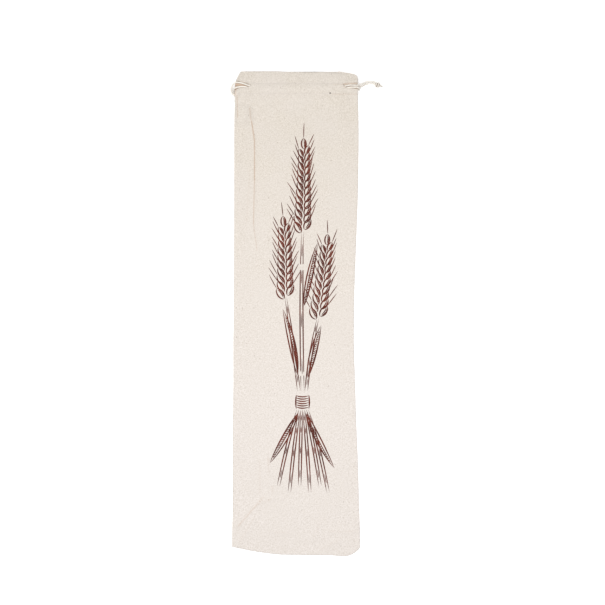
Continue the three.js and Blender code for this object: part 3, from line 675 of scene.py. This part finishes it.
# dark flecks: cells against the set number, how they are drawn out, share without one, reach and colour
FLECKS = (
    (1.0, (1.9, 0.55, 1.0), 0.80, 0.10, linear(118, 98, 80)),
    (2.3, (0.55, 1.9, 1.0), 0.88, 0.16, linear(150, 128, 112)),
)
NEP_SIZE = (0.0007, 0.0014)  # metres: dark within, gone beyond
NEP_COLOUR = linear(74, 66, 60)
# painted shade by place, from the point attributes: attribute, how much of it, colour
SHADE_TONES = (
    ("crease", 0.68, linear(180, 140, 104)),
    ("warm", 0.8, linear(200, 158, 122)),
    ("cool", 0.8, linear(138, 130, 114)),
)
# colours of the painted shade on the cords and on the knots, and the cords' own paler patches
CORD_SHADE, KNOT_SHADE, CORD_PATCH = linear(160, 144, 134), linear(138, 112, 92), linear(236, 222, 200)
FLOOR_GLOW = 0.2


def tinted(colour, tone):
    """A colour times a tone, which is one number or three."""
    return tuple(np.minimum(np.multiply(colour, tone), 1.0).tolist())


class Nodes:
    """A material's node tree, with one short call for a node and its links. Its patterns lie on the piece's
    Object coordinates."""

    def __init__(self, name, base, roughness, sheen):
        self.material = bpy.data.materials.new(name)
        self.material.use_nodes = True
        self.material.diffuse_color = (*base, 1)
        self.tree = self.material.node_tree
        self.shader = self.tree.nodes["Principled BSDF"]
        self.set("Base Color", (*base, 1))
        self.set("Roughness", roughness)
        self.set("Specular IOR Level", 0.25)
        self.set("Sheen Weight", sheen)
        self.set("Sheen Roughness", 0.5)
        self.place = self.add("TexCoord").outputs["Object"]

    def set(self, socket, value):
        self.shader.inputs[socket].default_value = value

    def add(self, kind, inputs=(), **settings):
        node = self.tree.nodes.new("ShaderNode" + kind)
        for name, value in settings.items():
            setattr(node, name, value)
        for name, value in dict(inputs).items():
            if isinstance(value, bpy.types.NodeSocket):
                self.tree.links.new(value, node.inputs[name])
            else:
                node.inputs[name].default_value = value
        return node

    def math(self, operation, *values):
        return self.add("Math", enumerate(values), operation=operation).outputs[0]

    def mix(self, share, *colours):
        """A colour between two, by a share."""
        first, second = ((*colour, 1) if isinstance(colour, tuple) else colour for colour in colours)
        return self.add("Mix", {0: share, 6: first, 7: second}, data_type="RGBA").outputs[2]

    def ramp(self, value, low, high, bottom=0.0, top=1.0):
        """A value carried from one span to another, and held at the ends."""
        spans = {"Value": value, "From Min": low, "From Max": high, "To Min": bottom, "To Max": top}
        return self.add("MapRange", spans).outputs[0]

    def attribute(self, name, share):
        """A part of one of the piece's own point attributes."""
        return self.math("MULTIPLY", self.add("Attribute", attribute_name=name).outputs["Fac"], share)

    def noise(self, scale, detail=2.0, rough=0.5):
        """Noise as a value around 0.5. Where its scales differ, it is drawn out along the smallest one."""
        scale = scale if isinstance(scale, tuple) else (scale,) * 3
        mapped = self.add("Mapping", {"Vector": self.place, "Scale": scale}).outputs[0]
        settings = {"Vector": mapped, "Scale": 1.0, "Detail": detail, "Roughness": rough}
        return self.add("TexNoise", settings).outputs["Fac"]

    def bands(self, axis, count):
        """A sine across threads: 'count' of them to the metre along an axis, from 0 to 1."""
        settings = {"Scale": count * np.pi / 10, "Distortion": 0.6, "Detail": 1.0, "Detail Scale": 2.0}
        node = self.add("TexWave", settings, wave_type="BANDS", bands_direction=axis)
        self.tree.links.new(self.place, node.inputs["Vector"])
        return node.outputs["Fac"]

    def finish(self, colour, height, distance=0.0001):
        self.tree.links.new(colour, self.shader.inputs["Base Color"])
        bump = self.add("Bump", {"Height": height, "Distance": distance, "Strength": 0.8})
        self.tree.links.new(bump.outputs[0], self.shader.inputs["Normal"])
        return self.material


def weave(kit, sizes):
    """Height and tones of plain-woven linen. Each thread is a sine across it, and warp and weft take turns
    on top: h = (1 + c) / 2 * across + (1 - c) / 2 * along, with c the product of two waves of twice the
    pitch. Short slubs lie both ways, and the yarn is thicker and thinner in specks."""
    count = sizes.threads * 100
    across, along = kit.bands("X", count), kit.bands("Y", count)
    over_x, over_y = (kit.math("MULTIPLY_ADD", kit.bands(axis, count / 2), 2.0, -1.0) for axis in "XY")
    turn = kit.math("MULTIPLY_ADD", kit.math("MULTIPLY", over_x, over_y), 0.5, 0.5)
    under = kit.math("MULTIPLY", kit.math("SUBTRACT", 1.0, turn), along)
    cloth = kit.math("ADD", kit.math("MULTIPLY", turn, across), under)
    run, fine = SLUBS
    slubs = kit.math("ADD", kit.noise((run, fine, run), 3.0), kit.noise((fine, run, run), 3.0))
    slubs = kit.math("MULTIPLY_ADD", kit.noise(SPECKS, 2.0, 0.6), SPECK_SHARE, slubs)
    height = kit.math("ADD", kit.math("MULTIPLY", cloth, 0.6), kit.math("MULTIPLY", slubs, 0.65))
    return height, kit.math("DIVIDE", slubs, 2 + SPECK_SHARE)


def linen_material(sizes):
    """Oatmeal linen: paler and darker yarns both ways, a painted shade that grows slowly warmer and darker
    towards the mouth, soft clouds of tone, scattered dark flecks drawn out along the yarns, a warm painted
    shade along each crease, and painted shadows: dusk in the slits and narrow lines at the lips, the cords
    and the mouth."""
    base = tuple(sizes.cloth_colour)
    kit = Nodes("linen", base, 0.92, 0.25)
    height, tone = weave(kit, sizes)
    # painted shade that grows towards the mouth, where less light falls
    mouth_shade = kit.ramp(kit.add("SeparateXYZ", {0: kit.place}).outputs[1], *MOUTH_SHADE_SPAN)
    yarns = [tinted(base, yarn) for yarn in (DARK_YARN, PALE_YARN)]
    dark, pale = (kit.mix(mouth_shade, yarn, tinted(yarn, MOUTH_SHADE_TONE)) for yarn in yarns)
    colour = kit.mix(kit.ramp(tone, 0.38, 0.62), dark, pale)
    colour = kit.mix(kit.ramp(kit.noise(22, 4.0), 0.35, 0.65, 0.0, 0.4), colour, tinted(base, CLOUD_TONE))
    for cells, lie, share, reach, tint in FLECKS:
        drawn = kit.add("Mapping", {"Vector": kit.place, "Scale": lie}).outputs[0]
        cell = kit.add("TexVoronoi", {"Vector": drawn, "Scale": sizes.flecks * cells})
        spot = kit.ramp(cell.outputs["Distance"], 0.6 * reach, 1.35 * reach, 1.0, 0.0)
        lot = kit.add("SeparateColor", {"Color": cell.outputs["Color"]}).outputs[0]
        chosen = kit.math("MULTIPLY", spot, kit.math("GREATER_THAN", lot, share))
        colour = kit.mix(kit.math("MULTIPLY", chosen, 0.4), colour, tint)
    flat = kit.add("Mapping", {"Vector": kit.place, "Scale": (1.0, 1.0, 0.0)}).outputs[0]
    away = kit.add("VectorMath", {0: flat, 1: NEP}, operation="DISTANCE").outputs["Value"]
    colour = kit.mix(kit.ramp(away, *NEP_SIZE, 0.85, 0.0), colour, NEP_COLOUR)
    # the painted shade and shadows, mixed in from the point attributes
    for name, share, tint in SHADE_TONES:
        colour = kit.mix(kit.attribute(name, share), colour, tint)
    return kit.finish(colour, height, 0.00012)


def cord_material(sizes, name, shade_colour):
    """Off-white cotton: fine fibres, with painted shade down in the grooves of the twist and on the flanks
    where the cord turns away below, and painted shadow where it lies in shade."""
    base = tuple(sizes.cord_colour)
    kit = Nodes(name, base, 0.85, 0.3)
    # the groove attribute carries the cord's painted shade and shadow
    colour = kit.mix(kit.attribute("groove", 0.75), base, shade_colour)
    colour = kit.mix(kit.ramp(kit.noise(160), 0.4, 0.7, 0.0, 0.2), colour, CORD_PATCH)
    return kit.finish(colour, kit.noise(2600))


def thread_material(sizes):
    """Sewing thread in the cloth's own colour, a shade darker, with its twist as fine noise."""
    base = tinted(sizes.cloth_colour, 0.9)
    kit = Nodes("thread", base, 0.8, 0.2)
    fibres = kit.noise(3000, 1.0)
    return kit.finish(kit.mix(fibres, tinted(base, 0.93), tinted(base, 1.05)), fibres)


def ink_material(sizes, ink):
    """Red-brown ink printed on the weave: it sits on the raised threads and breaks up in the hollows, and
    it is darker where the stroke was heavy."""
    base = tuple(ink.ink_colour)
    kit = Nodes("print_ink", base, 0.9, 0.1)
    height, tone = weave(kit, sizes)
    colour = kit.mix(kit.ramp(kit.noise(45, 3.0), 0.38, 0.62), base, tuple(ink.ink_dark))
    colour = kit.mix(kit.ramp(tone, 0.54, 0.68, 0.0, 0.2), colour, tinted(sizes.cloth_colour, 0.86))
    return kit.finish(colour, height)


def floor_material():
    """A white table lit from inside, very slightly mottled."""
    kit = Nodes("studio_floor", (0.97, 0.97, 0.97), 0.9, 0.0)
    kit.set("Emission Color", (1.0, 1.0, 1.0, 1))
    kit.set("Emission Strength", FLOOR_GLOW)
    cloud = kit.noise(2)
    return kit.finish(kit.mix(cloud, (0.965, 0.965, 0.965), (0.985, 0.985, 0.985)), cloud)


# ---------------- print

# A stroke is a cubic curve of four points in plan, in millimetres, with its greatest width. A list of strokes
# becomes an array of curve, point, axis, and one of widths.
STROKE_POINTS = 15


def strokes_along(curves, count):
    """Points of cubic Bezier curves, as an array of curve, point, axis."""
    t = np.linspace(0, 1, count)[None, :, None]
    p = np.asarray(curves, float)[:, :, None, :]
    shares = (1 - t) ** 3, 3 * t * (1 - t) ** 2, 3 * t**2 * (1 - t), t**3
    return sum(share * p[:, n] for n, share in enumerate(shares))


def ribbons(curves, widths):
    """Flat strokes that lie on the cloth. Each is a strip three points wide along its curve. Its half width
    is greatest past its middle and tapers to both ends: 0.78 * w * sin(pi * t^0.8)^0.6."""
    line = strokes_along(curves, STROKE_POINTS)
    t = np.linspace(0, 1, STROKE_POINTS)
    half = widths[:, None] * 0.78 * np.maximum(np.sin(np.pi * t**0.8), 0.0) ** 0.6
    along = np.gradient(line, axis=1)
    along /= np.maximum(np.linalg.norm(along, axis=2, keepdims=True), 1e-9)
    normal = np.stack([-along[..., 1], along[..., 0]], axis=-1)
    across = half[:, :, None] * np.array([1.0, 0.0, -1.0])
    plan = line[:, :, None, :] + normal[:, :, None, :] * across[..., None]
    z = front_height(*np.moveaxis(plan, -1, 0)) + INK_OVER * np.array([0.6, 1.0, 0.6])
    points = np.concatenate([plan, z[..., None]], axis=-1).reshape(-1, 3) * MM
    at = np.arange(len(points)).reshape(z.shape)
    a, b, c, d = at[:, :-1, :-1], at[:, 1:, :-1], at[:, 1:, 1:], at[:, :-1, 1:]
    return points, np.stack([a, d, c, b], axis=-1).reshape(-1, 4).tolist()


def turned(points, angle):
    """Points of the plan turned about the origin."""
    x, y, cos, sin = points[..., 0], points[..., 1], np.cos(angle), np.sin(angle)
    return np.stack([x * cos - y * sin, x * sin + y * cos], -1)


def arrays(strokes):
    """A list of strokes as its curves and its widths."""
    curves, widths = zip(*strokes)
    return np.array(curves, float), np.array(widths)


def together(parts):
    """The curves and widths of several parts as one."""
    return tuple(np.concatenate(some) for some in zip(*parts))


def grain_strokes(length, width, rng):
    """One grain of an ear, pointing along +Y from the origin: two bowed outlines, a seam, hatching on its
    right side and a long bristle."""
    bow = width * 0.72
    root, tip = (0, 0), (0, length)
    seam = [(width * out, length * up) for out, up in ((0.05, 0.15), (0.2, 0.4), (0.15, 0.7), (0, 0.9))]
    strokes = [
        ([root, (-bow, length * 0.25), (-bow * 0.8, length * 0.8), tip], 1.25),
        ([root, (bow, length * 0.25), (bow * 0.8, length * 0.8), tip], 1.35),
        (seam, 0.8),
    ]
    for share in (0.24, 0.36, 0.48, 0.6, 0.72):
        y = length * share
        reach = width * 0.5 * np.sin(np.pi * (0.12 + share * 0.8))
        start = (0.16 * width, y + rng.uniform(-0.4, 0.4))
        hatch = [start, (0.3 * width, y + 0.6), (reach * 0.8, y + 1.4), (reach, y + 1.9)]
        strokes.append((hatch, rng.uniform(0.6, 0.85)))
    lean = rng.uniform(-2.5, 2.5)
    bristle = length * rng.uniform(1.15, 1.5)
    bent = [(lean * share, length + bristle * up) for share, up in ((0.2, 0.35), (0.6, 0.7), (1, 1))]
    return arrays([*strokes, ([tip, *bent], 0.75)])


def ear_strokes(base, heading, length, pairs, rng):
    """An ear of wheat: pairs of grains up both sides of a bending axis, closer together towards the tip,
    and one grain at the end."""
    parts = []
    for n in range(pairs):
        share = n / pairs
        middle = np.array([4.0 * np.sin(share * 1.6), length * share])
        size = 1.0 - 0.28 * share
        for side in (-1, 1):
            curves, widths = grain_strokes(17.5 * size, 8.2 * size, rng)
            angle = -side * (0.50 - 0.16 * share) + rng.uniform(-0.05, 0.05)
            parts.append((turned(curves, angle) + middle + np.array([side * 2.6 * size, side * 2.2]), widths))
    curves, widths = grain_strokes(15.0, 6.5, rng)
    curves, widths = together([*parts, (curves + np.array([4.0 * np.sin(1.6), length]), widths)])
    return turned(curves, heading) + np.asarray(base), widths


def stem_strokes(start, bend, end, width):
    """A straw: two side lines and a broken middle one along one curve."""
    start, bend, end = (np.array(p, float) for p in (start, bend, end))
    run = (end - start) / np.linalg.norm(end - start)
    shift = np.array([-run[1], run[0]]) * width / 2
    middle = np.array([start, (start + 2 * bend) / 3, (end + 2 * bend) / 3, end])
    sides = [middle + side * shift * np.array([1, 1, 1, 0.6])[:, None] for side in (-1, 1)]
    line = strokes_along([middle], 12)[0]
    thirds = np.array([0, 1 / 3, 2 / 3, 1])[:, None]
    dashes = [line[n] + (line[n + 1] - line[n]) * thirds for n in (1, 4, 7, 9)]
    return arrays([(curve, 1.1) for curve in sides] + [(curve, 0.7) for curve in dashes])


def leaf_strokes(root, heading, length, width, curl, rng):
    """A long blade: two outlines that meet at its tip, a rib, and slanting hatches over its right half."""
    foot, tip = (0, 0), (curl, length)
    rib = [foot, (width * 0.1, length * 0.3), (curl * 0.35, length * 0.65), (curl * 0.85, length * 0.92)]
    strokes = [
        ([foot, (-width, length * 0.3), (-width * 0.6 + curl * 0.5, length * 0.75), tip], 1.2),
        ([foot, (width, length * 0.25), (width * 0.9 + curl * 0.5, length * 0.7), tip], 1.4),
        (rib, 0.9),
    ]
    for share in np.linspace(0.14, 0.84, int(length / 4.2)):
        y = length * share
        middle = curl * share**2
        reach = width * 0.78 * np.sin(np.pi * share**0.8)
        lean = 3.0 + rng.uniform(-0.6, 0.6)
        places = (0.12, 0), (0.4, 0.3), (0.7, 0.7), (rng.uniform(0.84, 1.0), 1)
        strokes.append(([(middle + reach * out, y + lean * up) for out, up in places], rng.uniform(0.6, 0.9)))
    curves, widths = arrays(strokes)
    return turned(curves, heading) + np.asarray(root), widths


def band_strokes(centre, width, rows, pitch):
    """The binding round the straws: bowed lines one under the other, and its two side lines."""
    x, y = centre
    half = width / 2
    bow = np.array([(-half, 0), (-half * 0.4, -2.2), (half * 0.4, -2.2), (half, 0)])
    strokes = [(bow + (x, y - n * pitch), 1.15) for n in range(rows)]
    tall = rows * pitch
    for side in (-half, half):
        ends = (x + side, y + 1), (x + side, y - tall)
        bowed = [(x + side * 1.12, y - tall * share) for share in (0.3, 0.7)]
        strokes.append(([ends[0], *bowed, ends[1]], 1.3))
    return arrays(strokes)


def sheaf():
    """The whole print: a tall sheaf of wheat with three ears, four blades, a binding and spread straw
    ends."""
    rng = np.random.default_rng(7)
    waist = (9.0, -112.0)
    parts = [
        ear_strokes((9, 112), 0.02, 112, 12, rng),
        ear_strokes((-14, 22), 0.07, 96, 10, rng),
        ear_strokes((30, -6), -0.08, 100, 10, rng),
        stem_strokes((9, -106), (6, 20), (9, 112), 4.2),
        stem_strokes((4, -106), (-4, -40), (-14, 22), 3.8),
        stem_strokes((14, -106), (18, -60), (30, -6), 3.8),
        leaf_strokes((2, -84), 0.12, 92, 6.5, -9, rng),
        leaf_strokes((16, -88), -0.14, 74, 6.0, 8, rng),
        leaf_strokes((11, 10), -0.13, 88, 5.5, 7, rng),
        band_strokes(waist, 17, 6, 3.1),
    ]
    for n, foot in enumerate((-24, -9, 5, 19, 33, 44)):
        spread = waist[0] + (n - 2.5) * 2.6
        bend = ((foot + spread) / 2, -170)
        parts.append(stem_strokes((foot, -236 - 9 * (n % 2)), bend, (spread, -131), 3.6))
    for foot, heading, size, curl in ((-6, 2.72, 78, 7), (22, -2.75, 84, -7)):
        parts.append(leaf_strokes((foot * 0.4 + 5, -136), heading, size, 5.5, curl, rng))
    return together(parts)


# ---------------- settings


def number(name, about, default, **more):
    return FloatProperty(name=name, description=about, default=default, **more)


def colour_of(name, about, *shade):
    return FloatVectorProperty(name=name, description=about, subtype="COLOR", size=3, default=linear(*shade))


class BagSizes(bpy.types.PropertyGroup):
    """Sizes and colours of the cloth and the cords."""

    cloth_colour: colour_of("Cloth", "Colour of the linen", 229, 222, 217)
    threads: number("Threads", "Threads to the centimetre, both ways", 16.0, min=4.0, max=40.0)
    flecks: number("Flecks", "Cells to the metre, some with a dark fleck", 130.0, min=10.0)
    cord_colour: colour_of("Cord", "Colour of the cotton cord", 250, 246, 238)
    cord_diameter: number(
        "Cord diameter", "Thickness of a drawcord", 0.0022, min=0.001, max=0.003, unit="LENGTH"
    )
    cord_turn: number("Cord twist", "Length of one full turn of a strand", 0.0075, min=0.002, unit="LENGTH")
    cord_strands: IntProperty(name="Strands", description="Strands twisted together", default=3, min=2, max=6)


class PrintSettings(bpy.types.PropertyGroup):
    """The printed sheaf."""

    ink_colour: colour_of("Ink", "Colour of the print", 110, 50, 36)
    ink_dark: colour_of("Heavy ink", "Colour where it is heavy", 84, 36, 26)


class StageSettings(bpy.types.PropertyGroup):
    """Floor, lights and camera."""

    view_width: number("View width", "Width of the view", 0.8266, min=0.1, unit="LENGTH")
    lens: number("Lens", "Focal length in millimetres", 85.0, min=20.0)
    view_centre: FloatVectorProperty(
        name="View centre", description="Where the camera looks on the surface", subtype="XYZ", unit="LENGTH",
        size=2, default=(0.0089, 0.0150),
    )
    key_power: number("Key light", "Its power", 22.0, unit="POWER")
    fill_power: number("Fill light", "Its power", 10.5, unit="POWER")
    sky: number("Sky", "Strength of the even light all round", 0.33, min=0.0)


# ---------------- pieces

SENSOR = 36.0
FLOOR_HALF = 6.0
# a light's setting for its power, its name, its size and its place, metres
LIGHTS = (("key_power", "key", 1.4, (-1.1, 1.1, 2.4)), ("fill_power", "fill", 1.0, (0.05, -0.14, 1.2)))


class BAG_OT_stage(bpy.types.Operator):
    """Lays the pale floor, hangs the soft lights and sets the camera straight above the bag"""

    bl_idname = "bread_bag.stage"
    bl_label = "Stage"

    def execute(self, context):
        settings = context.scene.bag_stage
        data = bpy.data.cameras.new("camera")
        data.lens, data.sensor_width, data.sensor_fit = settings.lens, SENSOR, "HORIZONTAL"
        data.clip_start, data.clip_end = 0.01, 50.0
        camera = placed("camera", data)
        camera.location = (*settings.view_centre, settings.view_width * settings.lens / SENSOR)
        context.scene.camera = camera

        mesh = bpy.data.meshes.new("floor")
        corners = [(x * FLOOR_HALF, y * FLOOR_HALF, 0) for x, y in ((-1, -1), (1, -1), (1, 1), (-1, 1))]
        mesh.from_pydata(corners, [], [(0, 1, 2, 3)])
        mesh.materials.append(floor_material())
        placed("floor", mesh)

        for power, name, size, place in LIGHTS:
            lamp = bpy.data.lights.new(name, "AREA")
            lamp.energy, lamp.size, lamp.shape = getattr(settings, power), size, "DISK"
            light = placed(name, lamp)
            x, y, z = place
            light.location = place
            light.rotation_euler = (np.arctan2(np.hypot(x, y), z), 0, np.arctan2(y, x) + np.pi / 2)
            light.visible_camera = False
        world = bpy.data.worlds.new("studio")
        world.use_nodes = True
        sky = world.node_tree.nodes["Background"].inputs
        sky["Color"].default_value, sky["Strength"].default_value = (1.0, 1.0, 1.0, 1), settings.sky
        context.scene.world = world
        context.scene.view_settings.view_transform = "Standard"
        return {"FINISHED"}


def cord_shade(wound, outwards):
    """Painted shade on a cord: in the grooves of its twist, by their square, and on its flanks and below."""
    return np.maximum(0.25 * wound**2, 0.8 * smooth((0.75 - outwards[:, 2]) / 0.8))


def dusk(points, outwards):
    """Where the cords lie in shadow: bell-shaped spots, and the far side of each of the two ends that lie
    side by side to the right of the bag."""
    x, y = points[:, 0], points[:, 1]
    spots = [depth * bell(np.hypot(x - at_x, y - at_y), radius) for at_x, at_y, radius, depth in CORD_DUSK]
    far = np.sign(y - read(TAIL, x)) * outwards[:, 1]
    return np.max([*spots, TAIL_DUSK * smooth((far + 0.1) / 0.8) * smooth((x - TAIL_FROM) / 3)], axis=0)


def twisted(settings, path, groove, sides=CORD_SIDES, radius=None, ends=0.0):
    """A tube of twisted strands along a path, as thick as the cord where no radius is given."""
    twist = 2 * np.pi / (settings.cord_turn / MM)
    radius = settings.cord_diameter / MM / 2 if radius is None else radius
    return tube(path, radius, sides, twist, settings.cord_strands, groove, ends)


def cotton(name, points, faces, dark, material):
    """A piece of cord, with its painted shade at each point."""
    piece = mesh_object(name, points * MM, faces, material)
    point_attribute(piece, "groove", dark)
    return piece


def drawcord(name, route, length, settings):
    """A twisted cord along its route: strands that wind round it, with a groove between them."""
    path = catmull(route, int(length / MM / RING_STEP))
    points, faces, wound, outwards = twisted(settings, path, CORD_GROOVE)
    # painted shade in the grooves, on the flanks and below, and painted shadow at the spots and on the tail's
    # far flanks
    dark = np.maximum(cord_shade(wound, outwards), dusk(points, outwards))
    piece = cotton(name, points, faces, dark, cord_material(settings, "cotton_cord", CORD_SHADE))
    return piece, (path * MM).tolist()


def knot_piece(name, start, heading, route, settings, seed):
    """The cord's two ends knotted together. The knot is a helix of the cord, flattened, round the two ends,
    which run on from the cord's route: (along, r * cos a, 0.62 * r * sin a), whose radius r shrinks at both
    ends to tuck them in. The ends' threads are drawn together to a tip: their distance from the middle
    falls with the length."""
    rng = np.random.default_rng(seed)
    t = np.linspace(0, 1, KNOT_RINGS)
    turn = 2 * np.pi * KNOT_TURNS * t - 0.4
    reach = KNOT_CORE + KNOT_SWELL * smooth(np.minimum(t, 1 - t) / KNOT_TUCK)
    along = KNOT_START + KNOT_LENGTH * t + 0.5 * np.cos(turn)
    wrap = np.column_stack([along, reach * np.cos(turn), KNOT_FLAT * reach * np.sin(turn)])
    points, faces, wound, outwards = twisted(settings, wrap, KNOT_GROOVE, ends=0.8)
    # painted shade between the turns of the helix, on their sides that face each other
    between = 0.9 * smooth((np.abs(outwards[:, 0]) - 0.3) / 0.45)
    parts, shades = [(points, faces)], [np.maximum(0.8 * cord_shade(wound, outwards), between)]

    tails = np.array([route[:2], route[:-3:-1]]) - (*start, KNOT_LIFT - points[:, 2].min())
    tails[..., :2] = turned(tails[..., :2], -heading)
    for side, (last, before) in zip((-KNOT_SIDE, KNOT_SIDE), tails[tails[:, 0, 1].argsort()]):
        bend = (1.3, (last[1] + side) / 2, 0.4 * last[2])
        core = catmull([last + 0.3 * (before - last), last, bend, (3.4, side, 0), (7.2, side, 0)], END_RINGS)
        thinned = np.linspace(1.04, 0.95, END_RINGS)
        points, faces, wound, outwards = twisted(settings, core, KNOT_GROOVE, END_SIDES, thinned, ends=0.6)
        parts.append((points, faces))
        # the ends are painted dark where they lie within the wraps, which only shade reaches, and carry the
        # cord's painted shade before them
        shades.append(np.maximum(0.75 * smooth((points[:, 0] - 0.2) / 1.2), 0.7 * cord_shade(wound, outwards)))

    s = np.linspace(0, 1, THREAD_POINTS)
    for _ in range(THREADS):
        aside, over = (rng.uniform(-spread, spread) for spread in THREAD_SPREAD)
        length = rng.uniform(*THREAD_LENGTH) * (1 - 0.18 * abs(aside))
        wave = 0.22 * np.sin(s * rng.uniform(3, 6) + rng.uniform(0, 6)) * s
        y = aside * (1 - 0.72 * s**1.3) + wave
        z = over * (1 - 0.5 * s) - 1.1 * s**1.5 + 0.3 * wave
        thread = np.column_stack([THREAD_FROM + s * length, y, z])
        radii = np.linspace(*THREAD_RADIUS, THREAD_POINTS)
        points, faces, wound, outwards = tube(thread, radii, THREAD_SIDES)
        parts.append((points, faces))
        # each thread has a random tone of its own, with the cord's painted shade over it
        shades.append(np.maximum(rng.uniform(0.05, 0.55), 0.4 * cord_shade(wound, outwards)))

    points, faces = joined(parts)
    points[:, :2] = turned(points[:, :2], heading)
    points += (*start, KNOT_LIFT - points[:, 2].min())
    material = cord_material(settings, "knotted_cord", KNOT_SHADE)
    return cotton(name, points, faces, np.concatenate(shades), material)


class BAG_OT_cords(bpy.types.Operator):
    """Lays the two drawcords along their routes, each with its knot"""

    bl_idname = "bread_bag.cords"
    bl_label = "Drawcords and knots"

    def execute(self, context):
        settings = context.scene.bag_sizes
        for n, (letter, route, length, exit_point, knot_at, heading) in enumerate(CORDS):
            heading = np.radians(heading)
            knot = knot_piece(f"frayed_knot_{letter}", knot_at, heading, route, settings, seed=11 + n)
            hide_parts(f"knot_{letter}")
            cord, path = drawcord(f"twisted_cord_{letter}", route, length, settings)
            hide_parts(f"drawcord_{letter}")
        return {"FINISHED"}


class BAG_OT_cloth(bpy.types.Operator):
    """Makes the linen skin of the bag, with its casing, slits, folds and creases"""

    bl_idname = "bread_bag.cloth"
    bl_label = "Linen"

    def execute(self, context):
        points, faces = skin()
        bag = mesh_object("linen_bag", points, faces, linen_material(context.scene.bag_sizes))
        x, y, z = (points / MM).T
        # painted shade along the creases, and painted shadows at the lips, the cords, the stitching and the
        # mouth, on the front's upper layer and at the mouth only
        creases = shade_lines([(*fold[:4], fold[-1], CREASE_HALF) for fold in FOLDS], x, y)
        cool = shade_lines(COOL_SHADES, x, y)
        warm = np.maximum(shade_lines(WARM_SHADES, x, y), DUSKY_DEPTH * inside_slits(DUSKY, x, y))
        front = (z > back_height(x, y) + FRONT_FROM) | (y > MOUTH_Y - RIM)
        for name, tone in (("crease", creases), ("cool", cool), ("warm", warm)):
            point_attribute(bag, name, tone * front)
        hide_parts("bag_body")
        return {"FINISHED"}


class BAG_OT_stitching(bpy.types.Operator):
    """Sews the two rows of stitches that hold the casing"""

    bl_idname = "bread_bag.stitching"
    bl_label = "Stitching"

    def execute(self, context):
        parts = []
        t = np.linspace(0, 1, 7)
        radius = STITCH_RADIUS * np.sqrt(np.sin(np.pi * (0.08 + 0.84 * t)))
        for row, rises in ((UPPER_STITCH_Y, 1.0), (LOWER_STITCH_Y, 0.0)):
            for start in np.arange(STITCHES_FROM, STITCHES_TO, STITCH_PITCH):
                x = start + t * STITCH_LENGTH
                y = row + rises * read(CASING_RISE, x)
                z = front_height(x, y) + 0.02 + 0.16 * np.sin(np.pi * t)
                parts.append(tube(np.column_stack([x, y, z]), radius, 6)[:2])
        points, faces = joined(parts)
        thread = thread_material(context.scene.bag_sizes)
        stitches = mesh_object("casing_stitches", points * MM, faces, thread)
        return {"FINISHED"}


class BAG_OT_print(bpy.types.Operator):
    """Prints the wheat sheaf on the front"""

    bl_idname = "bread_bag.print"
    bl_label = "Print"

    def execute(self, context):
        ink = ink_material(context.scene.bag_sizes, context.scene.bag_print)
        print_piece = mesh_object("printed_sheaf", *ribbons(*sheaf()), ink)
        return {"FINISHED"}


class BAG_PT_panel(bpy.types.Panel):
    """The bag's sizes and pieces"""

    bl_label = "Bread bag"
    bl_idname = "BAG_PT_panel"
    bl_space_type = "VIEW_3D"
    bl_region_type = "UI"
    bl_category = "Bread bag"

    def draw(self, context):
        for settings in (context.scene.bag_sizes, context.scene.bag_print, context.scene.bag_stage):
            for name in settings.__annotations__:
                self.layout.prop(settings, name)
        for operator in OPERATORS:
            self.layout.operator(operator.bl_idname)


OPERATORS = (BAG_OT_stage, BAG_OT_cords, BAG_OT_cloth, BAG_OT_stitching, BAG_OT_print)
CLASSES = (BagSizes, PrintSettings, StageSettings, *OPERATORS, BAG_PT_panel)


def register():
    for kind in CLASSES:
        bpy.utils.register_class(kind)
    bpy.types.Scene.bag_sizes = PointerProperty(type=BagSizes)
    bpy.types.Scene.bag_print = PointerProperty(type=PrintSettings)
    bpy.types.Scene.bag_stage = PointerProperty(type=StageSettings)


def unregister():
    del bpy.types.Scene.bag_stage
    del bpy.types.Scene.bag_print
    del bpy.types.Scene.bag_sizes
    for kind in reversed(CLASSES):
        bpy.utils.unregister_class(kind)


def main():
    register()
    bpy.ops.bread_bag.stage()
    bpy.ops.bread_bag.cords()
    bpy.ops.bread_bag.cloth()
    bpy.ops.bread_bag.stitching()
    bpy.ops.bread_bag.print()


if __name__ == "__main__":
    main()
